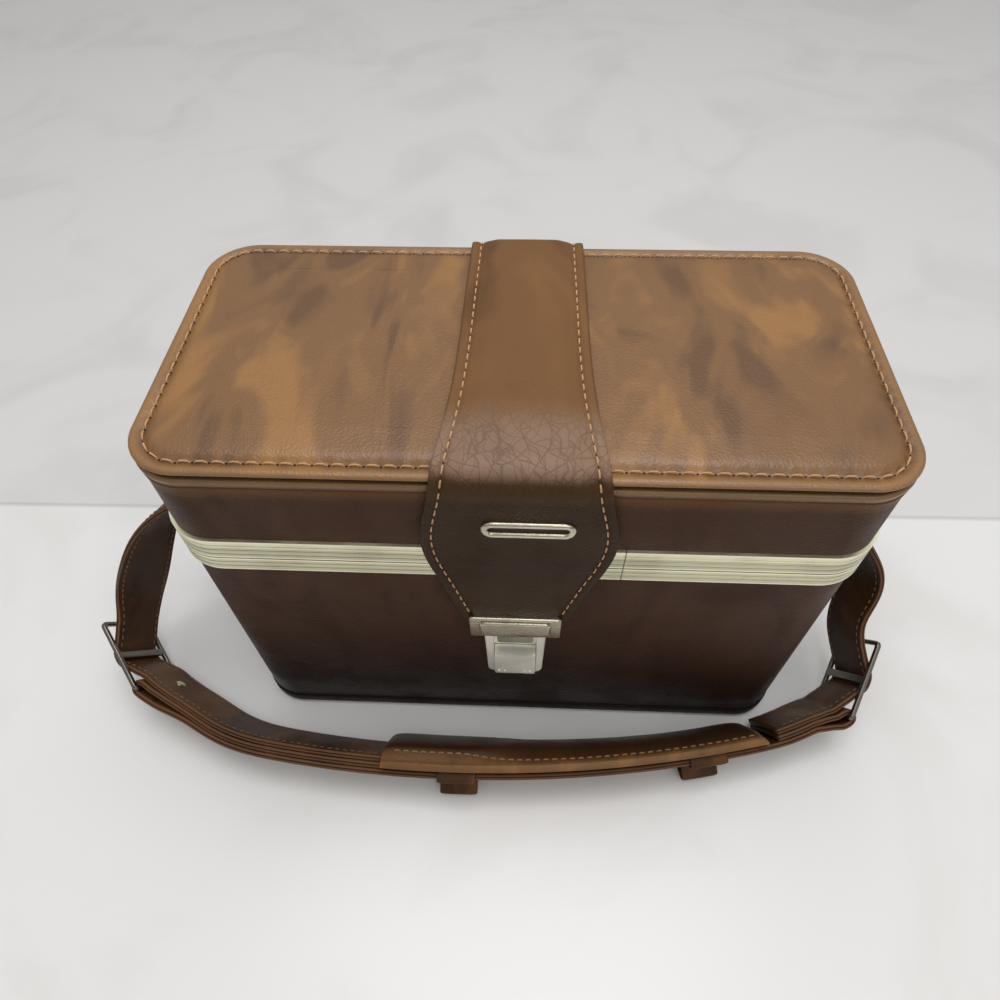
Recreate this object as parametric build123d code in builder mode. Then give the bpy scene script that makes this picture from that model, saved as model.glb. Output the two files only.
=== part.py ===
"""Hard camera case covered in leather, with a hinged lid, a buckle-down flap and a carrying strap.

The case stands on z = 0, centred on x = y = 0, with its front towards -Y.
The strap lies as it was put down: in front of the case, on its lower edge, leaning outwards.
All lengths are in millimetres and all angles in degrees.
"""

import os
from math import cos, degrees, pi, radians, sin

from build123d import *

os.makedirs("parts", exist_ok=True)

# Case walls
CASE_WIDTH = 300.0
CASE_DEPTH = 143.4
CORNER_RADIUS = 22.0
COVER_THICKNESS = 1.2
SHELL_THICKNESS = 3.0
LINING_THICKNESS = 1.5
BOTTOM_BOARD = 4.0
BOTTOM_SKIN = 1.2
BOTTOM_ROLL = 5.0
TRAY_HEIGHT = 11.0
TRAY_PROUD = 0.6
FLOOR_FOAM = 8.0

# Meeting line of base and lid, and the two metal valances
SPLIT_HEIGHT = 162.5
SPLIT_GAP = 0.2
VALANCE_THICKNESS = 1.5
VALANCE_WEB = 1.5
BASE_VALANCE_HEIGHT = 8.7
LID_VALANCE_HEIGHT = 12.2
INNER_FLANGE_DROP = 12.5
LIP_HEIGHT = 4.0
LIP_THICKNESS = 1.0
LIP_CLEARANCE = 0.7
RIB_DEPTH = 0.25
RIB_WIDTH = 0.5
BASE_RIBS = 2
LID_RIBS = 3

# Lid
LID_BOARD_TOP = 210.0
WELT_HEIGHT = 6.4
WELT_DROP = 1.6
WELT_OUT = 1.0
WELT_EDGE = 0.8
ROLL_HEIGHT = 7.5
ROLL_OUT = 1.0
ROLL_WIDTH = 9.0
ROLL_UPPER_EDGE = 4.1
ROLL_LOWER_EDGE = 2.6
TOP_PAD_HEIGHT = 11.0
TOP_PAD_EDGE = 7.5
LID_FOAM = 6.0

# Padded dividers in the base
DIVIDER_THICKNESS = 6.0
DIVIDER_EDGE = 2.4
DIVIDER_SPACING = 118.0
DIVIDER_BELOW_SPLIT = 22.0

# Flap
FLAP_THICKNESS = 3.2
FLAP_GAP = 0.2
FLAP_SEAM = 0.2
FLAP_BEND = 8.0
FLAP_PLAN_REACH = 6.4
FLAP_TAIL_DROP = 26.0
FLAP_HINGE_DROP = 2.0
FLAP_HANGING_LENGTH = 100.0
FLAP_CENTRE = 0.8
FLAP_REAR_HALF = 26.6
FLAP_MIDDLE_HALF = 28.0
FLAP_FRONT_HALF = 35.2
FLAP_WIDE_HALF = 39.6
FLAP_WIDE_SHARE = 0.22
FLAP_TRIM_HALF = 34.8
FLAP_TRIM_SHARE = 0.49
FLAP_END_HALF = 20.6

# Slot plate on the flap
SLOT_PLATE_LENGTH = 37.0
SLOT_PLATE_HEIGHT = 9.4
SLOT_PLATE_THICKNESS = 2.2
SLOT_RIM = 3.0
SLOT_EDGE = 1.25
SLOT_CENTRE_X = 4.3
SLOT_CENTRE_DROP = 12.8

# Hasp plate and its tongue
HASP_CENTRE_X = -0.5
HASP_WIDTH = 42.5
HASP_HEIGHT = 18.4
HASP_ABOVE_FLAP_END = 16.8
HASP_CORNER = 1.5
HASP_THICKNESS = 1.2
HASP_BOSS_WIDTH = 33.6
HASP_BOSS_HEIGHT = 11.5
HASP_BOSS_OUT = 1.6
HASP_BOSS_CORNER = 3.2
HASP_BOSS_EDGE = 1.1
HASP_LIP_RADIUS = 1.1
HASP_PIN_RADIUS = 1.5
HASP_PIN_SPACING = 24.0
PIN_CLEARANCE = 0.05
TONGUE_THICKNESS = 0.8
TONGUE_WIDTH = 18.0
TONGUE_IN_LOCK = 15.1
TONGUE_PLATE_WIDTH = 34.0
TONGUE_PLATE_HEIGHT = 13.0
TONGUE_CORNER = 2.0

# Lock on the base
LOCK_BELOW_FLAP = 1.9
LOCK_HEIGHT = 40.4
LOCK_TOP_WIDTH = 29.7
LOCK_BOTTOM_WIDTH = 27.6
LOCK_CORNER = 4.0
LOCK_EDGE = 1.0
LOCK_DEPTH = 5.6
LOCK_BACK = 0.6
CHANNEL_WIDTH = 21.2
CHANNEL_SILL = 1.6
THUMB_HEIGHT = 20.0
THUMB_THICKNESS = 1.5
THUMB_CORNER = 1.2
THUMB_CLEARANCE = 0.3
THUMB_TRAVEL = 4.0
THUMB_GROOVE_WIDTH = 1.2
THUMB_GROOVE_DEPTH = 0.5
THUMB_GROOVE_LENGTH = 16.0
THUMB_GROOVE_PLACES = (5.2, 8.0)

# Hinges
HINGE_SPACING = 170.0
KNUCKLE_RADIUS = 2.6
KNUCKLE_LENGTH = 11.0
KNUCKLE_GAP = 0.4
HINGE_PIN_RADIUS = 1.2
HINGE_CLEARANCE = 0.2
LEAF_THICKNESS = 1.2
LEAF_HEIGHT = 5.0
LEAF_CORNER = 1.0

# Side lugs and the rings that hang on them
LUG_BELOW_SPLIT = 19.5
LUG_PLATE_WIDTH = 20.0
LUG_PLATE_HEIGHT = 17.0
LUG_PLATE_THICKNESS = 1.5
LUG_CORNER = 3.0
POST_RADIUS = 3.0
POST_HEAD_RADIUS = 5.2
POST_HEAD_THICKNESS = 1.6
POST_HEAD_EDGE = 0.9
RING_THICKNESS = 3.0
RING_WIRE = 3.0
RING_DROP = 17.0
RING_CLEARANCE = 0.4
RING_SIDE_CLEARANCE = 1.9
RING_CORNER = 1.0
EYE_RADIUS = 2.4
EYE_HEIGHT = 4.2
EYE_CLEARANCE = 0.05

# Strap
STRAP_WIDTH = 32.0
STRAP_THICKNESS = 3.2
STRAP_LEAN = 32.0
STRAP_LIFT = 2.3
LAYER_GAP = 0.3
FRONT_ARC_X = -35.0
FRONT_ARC_GAP = 34.8
FRONT_ARC_RADIUS = 683.0
FRONT_ARC_LEFT = 8.6
FRONT_ARC_RIGHT = 14.5
BEND_RADIUS = 90.0
LEFT_END_HEADING = 31.0
RIGHT_END_HEADING = 31.0
LEFT_RUN = 44.5
RIGHT_RUN = 20.8
LEFT_RISE = 3.0
RIGHT_RISE = 9.5
LEFT_BAR_INWARD = -0.5
RIGHT_BAR_INWARD = -2.3
RUN_OVERLAP = 1.0
LEFT_TAIL_END = 6.0
RIGHT_TAIL_END = 16.5

# Strap buckles
BUCKLE_WIRE = 2.6
BUCKLE_PITCH = 22.0
BUCKLE_CORNER = 3.5
BUCKLE_INNER_CORNER = 1.5
BUCKLE_EDGE = 0.8
LEFT_BUCKLE_TURN = 24.0
RIGHT_BUCKLE_TURN = 36.0
BUCKLE_SIDE_CLEARANCE = 0.4
CENTRE_BAR_WIDTH = 4.2
BAR_CLEARANCE = 0.4
THREAD_CLEARANCE = 0.25
THREAD_BEND = 5.0
THREAD_REACH = 4.0
THREAD_SLACK = 0.4
ENTRY_BACK = 1.0
FOLD_REACH = 3.0
FOLD_SLACK = 0.8
SPREAD_SHARE = 0.75
LEAD_IN = 7.0

# How the hanging part of each end strap bows away from a straight line from its ring to its buckle.
# Each point is a share of that line and how far it lies outwards, back and up from there.
HANG_SECTIONS = 14
LEFT_HANG = ((0.33, 14.2, 6.0, 8.5), (0.66, 11.5, 3.4, -2.0))
RIGHT_HANG = ((0.33, 13.5, 8.0, 2.0), (0.66, 13.5, 6.0, -2.5))
LEFT_HANG_TWIST = (0.15, 0.15, 0.02)
RIGHT_HANG_TWIST = (0.1, 0.12, 0.0)

# Shoulder pad and its keepers
PAD_THICKNESS = 8.0
PAD_LOWER_MARGIN = 4.5
PAD_UPPER_MARGIN = 6.0
PAD_ROUND = 3.0
PAD_LEFT = 3.3
PAD_RIGHT = 14.4
KEEPER_LENGTH = 20.0
KEEPER_BAND = 1.6
KEEPER_CLEARANCE = 0.4
KEEPER_ROUND = 1.5
KEEPER_PLACES = (("left", 0.4), ("right", 11.45))

# Heights and faces that follow from the sizes above
FRONT_Y = -CASE_DEPTH / 2
REAR_Y = CASE_DEPTH / 2
SIDE_X = CASE_WIDTH / 2
SHELL_OUTER = COVER_THICKNESS
SHELL_INNER = COVER_THICKNESS + SHELL_THICKNESS
LINING_INNER = SHELL_INNER + LINING_THICKNESS
BASE_VALANCE_BOTTOM = SPLIT_HEIGHT - BASE_VALANCE_HEIGHT
LUG_HEIGHT = SPLIT_HEIGHT - LUG_BELOW_SPLIT
BASE_SHELL_TOP = SPLIT_HEIGHT - VALANCE_WEB
FLANGE_BOTTOM = SPLIT_HEIGHT - INNER_FLANGE_DROP
SHELL_FLOOR = BOTTOM_SKIN + BOTTOM_BOARD
FLOOR_TOP = SHELL_FLOOR + LINING_THICKNESS + FLOOR_FOAM
LID_BOTTOM = SPLIT_HEIGHT + SPLIT_GAP
LID_SHELL_BOTTOM = LID_BOTTOM + VALANCE_WEB
LID_VALANCE_TOP = SPLIT_HEIGHT + LID_VALANCE_HEIGHT
ROLL_TOP = LID_BOARD_TOP + ROLL_HEIGHT
PAD_TOP = LID_BOARD_TOP + TOP_PAD_HEIGHT
LID_LINING_BOTTOM = SPLIT_HEIGHT + LIP_HEIGHT + LIP_CLEARANCE
FLAP_TAIL_BOTTOM = LID_BOARD_TOP - FLAP_TAIL_DROP
FLAP_HINGE_HEIGHT = LID_BOARD_TOP - FLAP_HINGE_DROP
FLAP_END_HEIGHT = FLAP_HINGE_HEIGHT - FLAP_HANGING_LENGTH
FLAP_WIDE_HEIGHT = FLAP_HINGE_HEIGHT - FLAP_HANGING_LENGTH * FLAP_WIDE_SHARE
FLAP_TRIM_HEIGHT = FLAP_HINGE_HEIGHT - FLAP_HANGING_LENGTH * FLAP_TRIM_SHARE
SLOT_CENTRE_HEIGHT = FLAP_HINGE_HEIGHT - SLOT_CENTRE_DROP
FLAP_INNER_Y = FRONT_Y - VALANCE_THICKNESS - FLAP_GAP
FLAP_OUTER_Y = FLAP_INNER_Y - FLAP_THICKNESS
HASP_TOP = FLAP_END_HEIGHT + HASP_ABOVE_FLAP_END
HASP_CENTRE_HEIGHT = HASP_TOP - HASP_HEIGHT / 2
LOCK_TOP = FLAP_END_HEIGHT - LOCK_BELOW_FLAP
LOCK_BOTTOM = LOCK_TOP - LOCK_HEIGHT
TONGUE_TIP = LOCK_TOP - TONGUE_IN_LOCK
LOCK_FACE_Y = FRONT_Y - LOCK_DEPTH
CHANNEL_BOTTOM = LOCK_BOTTOM + CHANNEL_SILL
THUMB_BOTTOM = CHANNEL_BOTTOM + THUMB_CLEARANCE
HINGE_Y = REAR_Y + VALANCE_THICKNESS + KNUCKLE_RADIUS + HINGE_CLEARANCE
RING_OFFSET = VALANCE_THICKNESS + EYE_RADIUS + STRAP_THICKNESS + RING_CLEARANCE
RING_X = SIDE_X + RING_OFFSET
RING_BAR_HEIGHT = LUG_HEIGHT - RING_DROP
FRONT_ARC_CENTRE_Y = FRONT_Y - FRONT_ARC_GAP + FRONT_ARC_RADIUS
FOLD_RADIUS = BUCKLE_WIRE / 2 + BAR_CLEARANCE
RETURN_FLAT = STRAP_THICKNESS + LAYER_GAP
TAIL_FLAT = RETURN_FLAT + STRAP_THICKNESS + LAYER_GAP
PAD_OUTER = RETURN_FLAT


def save(piece, name):
    """Label a finished piece and write it as its own STEP file."""
    piece.part.label = name
    export_step(piece.part, f"parts/{name}.step")


def slab(inset, bottom, top, mode=Mode.ADD):
    """Extrude the rounded plan of the case, moved in from the leather face by inset."""
    with BuildSketch(Plane.XY.offset(bottom)) as plan:
        RectangleRounded(CASE_WIDTH - 2 * inset, CASE_DEPTH - 2 * inset, CORNER_RADIUS - inset)
    extrude(plan.sketch, amount=top - bottom, mode=mode)


def ring(outer_inset, inner_inset, bottom, top, mode=Mode.ADD):
    """Extrude the band between two insets of the case's plan."""
    with BuildSketch(Plane.XY.offset(bottom)) as plan:
        RectangleRounded(CASE_WIDTH - 2 * outer_inset, CASE_DEPTH - 2 * outer_inset, CORNER_RADIUS - outer_inset)
        RectangleRounded(
            CASE_WIDTH - 2 * inner_inset, CASE_DEPTH - 2 * inner_inset, CORNER_RADIUS - inner_inset, mode=Mode.SUBTRACT
        )
    extrude(plan.sketch, amount=top - bottom, mode=mode)


def front_plane(y):
    """A sketch plane on the front, looking at the case, with its normal towards -Y."""
    return Plane(origin=(0, y, 0), x_dir=(1, 0, 0), z_dir=(0, -1, 0))


def cut_ribs(bottom, top, count):
    """Cut evenly spaced shallow grooves round a valance."""
    pitch = (top - bottom) / (count + 1)
    for index in range(count):
        middle = bottom + pitch * (index + 1)
        ring(
            -VALANCE_THICKNESS - RIB_DEPTH,
            -VALANCE_THICKNESS + RIB_DEPTH,
            middle - RIB_WIDTH / 2,
            middle + RIB_WIDTH / 2,
            mode=Mode.SUBTRACT,
        )


# Base: walls with a rounded lower edge, the leather tray that wraps it, leather, metal rim and lining
with BuildPart() as base_block:
    slab(SHELL_OUTER, BOTTOM_SKIN, BASE_SHELL_TOP)
    fillet(base_block.faces().sort_by(Axis.Z)[0].edges(), BOTTOM_ROLL - BOTTOM_SKIN)

with BuildPart() as base_tray:
    slab(-TRAY_PROUD, 0, TRAY_HEIGHT)
    fillet(base_tray.faces().sort_by(Axis.Z)[0].edges(), BOTTOM_ROLL)
    add(base_block.part, mode=Mode.SUBTRACT)
save(base_tray, "base_tray")

with BuildPart() as base_shell:
    add(base_block.part)
    slab(SHELL_INNER, SHELL_FLOOR, BASE_SHELL_TOP, mode=Mode.SUBTRACT)
save(base_shell, "base_shell")

with BuildPart() as base_cover:
    ring(0, SHELL_OUTER, TRAY_HEIGHT, BASE_SHELL_TOP)
save(base_cover, "base_cover")

with BuildPart() as base_valance:
    slab(-VALANCE_THICKNESS, BASE_VALANCE_BOTTOM, SPLIT_HEIGHT)
    slab(0, BASE_VALANCE_BOTTOM, BASE_SHELL_TOP, mode=Mode.SUBTRACT)
    slab(SHELL_INNER, FLANGE_BOTTOM, SPLIT_HEIGHT)
    slab(SHELL_INNER + LIP_CLEARANCE, SPLIT_HEIGHT, SPLIT_HEIGHT + LIP_HEIGHT)
    slab(SHELL_INNER + LIP_CLEARANCE + LIP_THICKNESS, FLANGE_BOTTOM, SPLIT_HEIGHT + LIP_HEIGHT, mode=Mode.SUBTRACT)
    cut_ribs(BASE_VALANCE_BOTTOM, SPLIT_HEIGHT, BASE_RIBS)
save(base_valance, "base_valance")

with BuildPart() as base_lining:
    slab(SHELL_INNER, SHELL_FLOOR, FLANGE_BOTTOM)
    slab(LINING_INNER, SHELL_FLOOR + LINING_THICKNESS, FLANGE_BOTTOM, mode=Mode.SUBTRACT)
save(base_lining, "base_lining")

with BuildPart() as floor_foam:
    slab(LINING_INNER, SHELL_FLOOR + LINING_THICKNESS, FLOOR_TOP)
save(floor_foam, "floor_foam")

for side, divider_name in ((-1, "divider_left"), (1, "divider_right")):
    with BuildPart() as divider:
        with BuildSketch(Plane(origin=(side * DIVIDER_SPACING / 2, 0, FLOOR_TOP))):
            Rectangle(DIVIDER_THICKNESS, CASE_DEPTH - 2 * LINING_INNER)
        extrude(amount=SPLIT_HEIGHT - DIVIDER_BELOW_SPLIT - FLOOR_TOP)
        fillet(divider.faces().sort_by(Axis.Z)[-1].edges().filter_by(Axis.Y), DIVIDER_EDGE)
    save(divider, divider_name)

# Lid: walls and board, leather, metal rim, lining and foam
with BuildPart() as lid_shell:
    slab(SHELL_OUTER, LID_SHELL_BOTTOM, LID_BOARD_TOP)
    slab(SHELL_INNER, LID_SHELL_BOTTOM, LID_BOARD_TOP - SHELL_THICKNESS, mode=Mode.SUBTRACT)
save(lid_shell, "lid_shell")

with BuildPart() as lid_cover:
    ring(0, SHELL_OUTER, LID_SHELL_BOTTOM, LID_BOARD_TOP)
save(lid_cover, "lid_cover")

with BuildPart() as lid_valance:
    ring(-VALANCE_THICKNESS, 0, LID_BOTTOM, LID_VALANCE_TOP)
    ring(-VALANCE_THICKNESS, SHELL_INNER, LID_BOTTOM, LID_SHELL_BOTTOM)
    cut_ribs(LID_BOTTOM, LID_VALANCE_TOP, LID_RIBS)
save(lid_valance, "lid_valance")

with BuildPart() as lid_welt:
    welt_top = LID_BOARD_TOP - WELT_DROP
    ring(-WELT_OUT, 0, welt_top - WELT_HEIGHT, welt_top)
    outer_edges = lid_welt.faces().sort_by(Axis.Z)[-1].outer_wire().edges()
    outer_edges += lid_welt.faces().sort_by(Axis.Z)[0].outer_wire().edges()
    fillet(outer_edges, WELT_EDGE)
save(lid_welt, "lid_welt")

with BuildPart() as lid_roll:
    ring(-ROLL_OUT, ROLL_WIDTH, LID_BOARD_TOP, ROLL_TOP)
    fillet(lid_roll.faces().sort_by(Axis.Z)[-1].outer_wire().edges(), ROLL_UPPER_EDGE)
    fillet(lid_roll.faces().sort_by(Axis.Z)[0].outer_wire().edges(), ROLL_LOWER_EDGE)
save(lid_roll, "lid_roll")

with BuildPart() as lid_top:
    slab(ROLL_WIDTH, LID_BOARD_TOP, PAD_TOP)
    fillet(lid_top.faces().sort_by(Axis.Z)[-1].edges(), TOP_PAD_EDGE)
save(lid_top, "lid_top")

with BuildPart() as lid_lining:
    slab(SHELL_INNER, LID_LINING_BOTTOM, LID_BOARD_TOP - SHELL_THICKNESS)
    slab(LINING_INNER, LID_LINING_BOTTOM, LID_BOARD_TOP - SHELL_THICKNESS - LINING_THICKNESS, mode=Mode.SUBTRACT)
save(lid_lining, "lid_lining")

with BuildPart() as lid_foam:
    foam_top = LID_BOARD_TOP - SHELL_THICKNESS - LINING_THICKNESS
    slab(LINING_INNER, foam_top - LID_FOAM, foam_top)
save(lid_foam, "lid_foam")

# Flap: the band over the lid, and the tongue of leather that hangs in front
with BuildPart() as flap_band:
    half = FLAP_THICKNESS / 2
    rear_line = REAR_Y + ROLL_OUT + FLAP_GAP + half
    top_line = PAD_TOP + half
    front_line = FLAP_INNER_Y - half
    with BuildSketch(Plane.YZ):
        with BuildLine():
            FilletPolyline(
                (rear_line, FLAP_TAIL_BOTTOM),
                (rear_line, top_line),
                (front_line, top_line),
                (front_line, FLAP_HINGE_HEIGHT),
                radius=FLAP_BEND + half,
            )
        trace(line_width=FLAP_THICKNESS)
    extrude(amount=FLAP_FRONT_HALF * 2, both=True)
    with BuildSketch(Plane.XY.offset(FLAP_TAIL_BOTTOM)):
        with BuildLine():
            right_edge = Spline(
                (FLAP_CENTRE + FLAP_REAR_HALF, REAR_Y + FLAP_PLAN_REACH),
                (FLAP_CENTRE + FLAP_REAR_HALF, REAR_Y / 2),
                (FLAP_CENTRE + FLAP_MIDDLE_HALF, FRONT_Y / 2),
                (FLAP_CENTRE + FLAP_FRONT_HALF, FRONT_Y - FLAP_PLAN_REACH),
            )
            left_edge = Spline(
                (FLAP_CENTRE - FLAP_REAR_HALF, REAR_Y + FLAP_PLAN_REACH),
                (FLAP_CENTRE - FLAP_REAR_HALF, REAR_Y / 2),
                (FLAP_CENTRE - FLAP_MIDDLE_HALF, FRONT_Y / 2),
                (FLAP_CENTRE - FLAP_FRONT_HALF, FRONT_Y - FLAP_PLAN_REACH),
            )
            Line(right_edge @ 0, left_edge @ 0)
            Line(right_edge @ 1, left_edge @ 1)
        make_face()
    extrude(amount=PAD_TOP, mode=Mode.INTERSECT)
save(flap_band, "flap_band")

with BuildPart() as flap_leather:
    with BuildSketch(front_plane(FLAP_INNER_Y)):
        with BuildLine():
            edges = []
            for side in (-1, 1):
                edges.append(
                    Spline(
                        (FLAP_CENTRE + side * FLAP_FRONT_HALF, FLAP_HINGE_HEIGHT - FLAP_SEAM),
                        (FLAP_CENTRE + side * FLAP_WIDE_HALF, FLAP_WIDE_HEIGHT),
                        (FLAP_CENTRE + side * FLAP_TRIM_HALF, FLAP_TRIM_HEIGHT),
                        (HASP_CENTRE_X + side * FLAP_END_HALF, FLAP_END_HEIGHT),
                    )
                )
            Line(edges[0] @ 0, edges[1] @ 0)
            Line(edges[0] @ 1, edges[1] @ 1)
        make_face()
    extrude(amount=FLAP_THICKNESS)
    with BuildSketch(front_plane(FLAP_INNER_Y)):
        with Locations((SLOT_CENTRE_X, SLOT_CENTRE_HEIGHT)):
            SlotOverall(SLOT_PLATE_LENGTH - 2 * SLOT_RIM, SLOT_PLATE_HEIGHT - 2 * SLOT_RIM)
        with Locations((HASP_CENTRE_X, HASP_CENTRE_HEIGHT)):
            with GridLocations(HASP_PIN_SPACING, 0, 2, 1):
                Circle(HASP_PIN_RADIUS + PIN_CLEARANCE)
    extrude(amount=FLAP_THICKNESS, mode=Mode.SUBTRACT)
save(flap_leather, "flap_leather")

with BuildPart() as slot_plate:
    with BuildSketch(front_plane(FLAP_OUTER_Y)):
        with Locations((SLOT_CENTRE_X, SLOT_CENTRE_HEIGHT)):
            SlotOverall(SLOT_PLATE_LENGTH, SLOT_PLATE_HEIGHT)
            SlotOverall(SLOT_PLATE_LENGTH - 2 * SLOT_RIM, SLOT_PLATE_HEIGHT - 2 * SLOT_RIM, mode=Mode.SUBTRACT)
    extrude(amount=SLOT_PLATE_THICKNESS)
    fillet(slot_plate.faces().sort_by(Axis.Y)[0].edges(), SLOT_EDGE)
save(slot_plate, "slot_plate")

with BuildPart() as hasp_plate:
    with BuildSketch(front_plane(FLAP_OUTER_Y)):
        with Locations((HASP_CENTRE_X, HASP_CENTRE_HEIGHT)):
            RectangleRounded(HASP_WIDTH, HASP_HEIGHT, HASP_CORNER)
    extrude(amount=HASP_THICKNESS)
    with BuildSketch(front_plane(FLAP_OUTER_Y - HASP_THICKNESS)):
        with Locations((HASP_CENTRE_X, HASP_CENTRE_HEIGHT)):
            RectangleRounded(HASP_BOSS_WIDTH, HASP_BOSS_HEIGHT, HASP_BOSS_CORNER)
    extrude(amount=HASP_BOSS_OUT)
    fillet(hasp_plate.faces().sort_by(Axis.Y)[0].edges(), HASP_BOSS_EDGE)
    with BuildSketch(Plane.YZ.offset(HASP_CENTRE_X)):
        with Locations((FLAP_OUTER_Y - HASP_THICKNESS, HASP_TOP - HASP_LIP_RADIUS)):
            Circle(HASP_LIP_RADIUS)
    extrude(amount=HASP_WIDTH / 2 - HASP_CORNER, both=True)
    with BuildSketch(front_plane(FLAP_INNER_Y)):
        with Locations((HASP_CENTRE_X, HASP_CENTRE_HEIGHT)):
            with GridLocations(HASP_PIN_SPACING, 0, 2, 1):
                Circle(HASP_PIN_RADIUS)
    extrude(amount=FLAP_THICKNESS)
save(hasp_plate, "hasp_plate")

with BuildPart() as hasp_tongue:
    tongue_root = HASP_CENTRE_HEIGHT
    with BuildSketch(front_plane(FLAP_INNER_Y + TONGUE_THICKNESS)):
        with Locations((HASP_CENTRE_X, HASP_CENTRE_HEIGHT)):
            RectangleRounded(TONGUE_PLATE_WIDTH, TONGUE_PLATE_HEIGHT, TONGUE_CORNER)
        with Locations((HASP_CENTRE_X, (tongue_root + TONGUE_TIP) / 2)):
            RectangleRounded(TONGUE_WIDTH, tongue_root - TONGUE_TIP, TONGUE_CORNER)
    extrude(amount=TONGUE_THICKNESS)
save(hasp_tongue, "hasp_tongue")

# Lock case with its open channel, and the sprung thumb piece that slides down in it
with BuildPart() as lock_case:
    with BuildSketch(front_plane(FRONT_Y)) as lock_outline:
        with BuildLine():
            Polyline(
                (HASP_CENTRE_X - LOCK_TOP_WIDTH / 2, LOCK_TOP),
                (HASP_CENTRE_X + LOCK_TOP_WIDTH / 2, LOCK_TOP),
                (HASP_CENTRE_X + LOCK_BOTTOM_WIDTH / 2, LOCK_BOTTOM),
                (HASP_CENTRE_X - LOCK_BOTTOM_WIDTH / 2, LOCK_BOTTOM),
                close=True,
            )
        make_face()
        fillet(lock_outline.vertices().group_by(Axis.Y)[0], LOCK_CORNER)
    extrude(amount=LOCK_DEPTH)
    fillet(lock_case.faces().sort_by(Axis.Y)[0].edges(), LOCK_EDGE)
    with BuildSketch(front_plane(FRONT_Y - LOCK_BACK)):
        with Locations((HASP_CENTRE_X, CHANNEL_BOTTOM + LOCK_HEIGHT / 2)):
            Rectangle(CHANNEL_WIDTH, LOCK_HEIGHT)
    extrude(amount=LOCK_DEPTH, mode=Mode.SUBTRACT)
save(lock_case, "lock_case")

with BuildPart() as lock_thumb:
    thumb_width = CHANNEL_WIDTH - 2 * THUMB_CLEARANCE
    block_bottom = THUMB_BOTTOM + THUMB_TRAVEL
    block_back = FRONT_Y - LOCK_BACK - THUMB_CLEARANCE
    plate_back = LOCK_FACE_Y - THUMB_CLEARANCE
    with BuildSketch(front_plane(block_back)):
        with Locations((HASP_CENTRE_X, (block_bottom + THUMB_BOTTOM + THUMB_HEIGHT) / 2)):
            Rectangle(thumb_width, THUMB_BOTTOM + THUMB_HEIGHT - block_bottom)
    extrude(amount=block_back - plate_back)
    with BuildSketch(front_plane(plate_back)):
        with Locations((HASP_CENTRE_X, THUMB_BOTTOM + THUMB_HEIGHT / 2)):
            RectangleRounded(thumb_width, THUMB_HEIGHT, THUMB_CORNER)
    extrude(amount=THUMB_THICKNESS)
    with BuildSketch(front_plane(plate_back - THUMB_THICKNESS + THUMB_GROOVE_DEPTH)):
        for place in THUMB_GROOVE_PLACES:
            with Locations((HASP_CENTRE_X, THUMB_BOTTOM + THUMB_HEIGHT / 2)):
                with GridLocations(2 * place, 0, 2, 1):
                    SlotOverall(THUMB_GROOVE_LENGTH, THUMB_GROOVE_WIDTH, rotation=90)
    extrude(amount=THUMB_GROOVE_DEPTH, mode=Mode.SUBTRACT)
save(lock_thumb, "lock_thumb")


def hinge_leaf(centre_x, lower):
    """A leaf riveted to one valance, with its share of the knuckles round the pin."""
    direction = -1 if lower else 1
    leaf_near = SPLIT_HEIGHT + direction * (KNUCKLE_RADIUS + KNUCKLE_GAP)
    leaf_far = leaf_near + direction * LEAF_HEIGHT
    places = (-KNUCKLE_LENGTH - KNUCKLE_GAP, KNUCKLE_LENGTH + KNUCKLE_GAP) if lower else (0.0,)
    leaf_face = REAR_Y + VALANCE_THICKNESS
    leaf_middle = leaf_face + LEAF_THICKNESS / 2
    with BuildPart() as leaf:
        with BuildSketch(Plane(origin=(centre_x, leaf_face, 0), x_dir=(1, 0, 0), z_dir=(0, -1, 0))):
            with Locations((0, (leaf_near + leaf_far) / 2)):
                RectangleRounded(3 * KNUCKLE_LENGTH + 2 * KNUCKLE_GAP, LEAF_HEIGHT, LEAF_CORNER)
        extrude(amount=-LEAF_THICKNESS)
        for place in places:
            with BuildSketch(Plane.YZ.offset(centre_x + place)):
                with Locations((HINGE_Y, SPLIT_HEIGHT)):
                    Circle(KNUCKLE_RADIUS)
                with Locations((leaf_middle, (leaf_near + direction + SPLIT_HEIGHT) / 2)):
                    Rectangle(LEAF_THICKNESS, abs(leaf_near + direction - SPLIT_HEIGHT))
                with Locations((HINGE_Y, SPLIT_HEIGHT)):
                    Circle(HINGE_PIN_RADIUS + PIN_CLEARANCE, mode=Mode.SUBTRACT)
            extrude(amount=KNUCKLE_LENGTH / 2, both=True)
    return leaf


for side, side_name in ((-1, "left"), (1, "right")):
    hinge_x = side * HINGE_SPACING / 2
    save(hinge_leaf(hinge_x, lower=True), f"hinge_base_leaf_{side_name}")
    save(hinge_leaf(hinge_x, lower=False), f"hinge_lid_leaf_{side_name}")
    with BuildPart() as hinge_pin:
        with BuildSketch(Plane.YZ.offset(hinge_x)):
            with Locations((HINGE_Y, SPLIT_HEIGHT)):
                Circle(HINGE_PIN_RADIUS)
        extrude(amount=1.5 * KNUCKLE_LENGTH + KNUCKLE_GAP, both=True)
    save(hinge_pin, f"hinge_pin_{side_name}")

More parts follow.
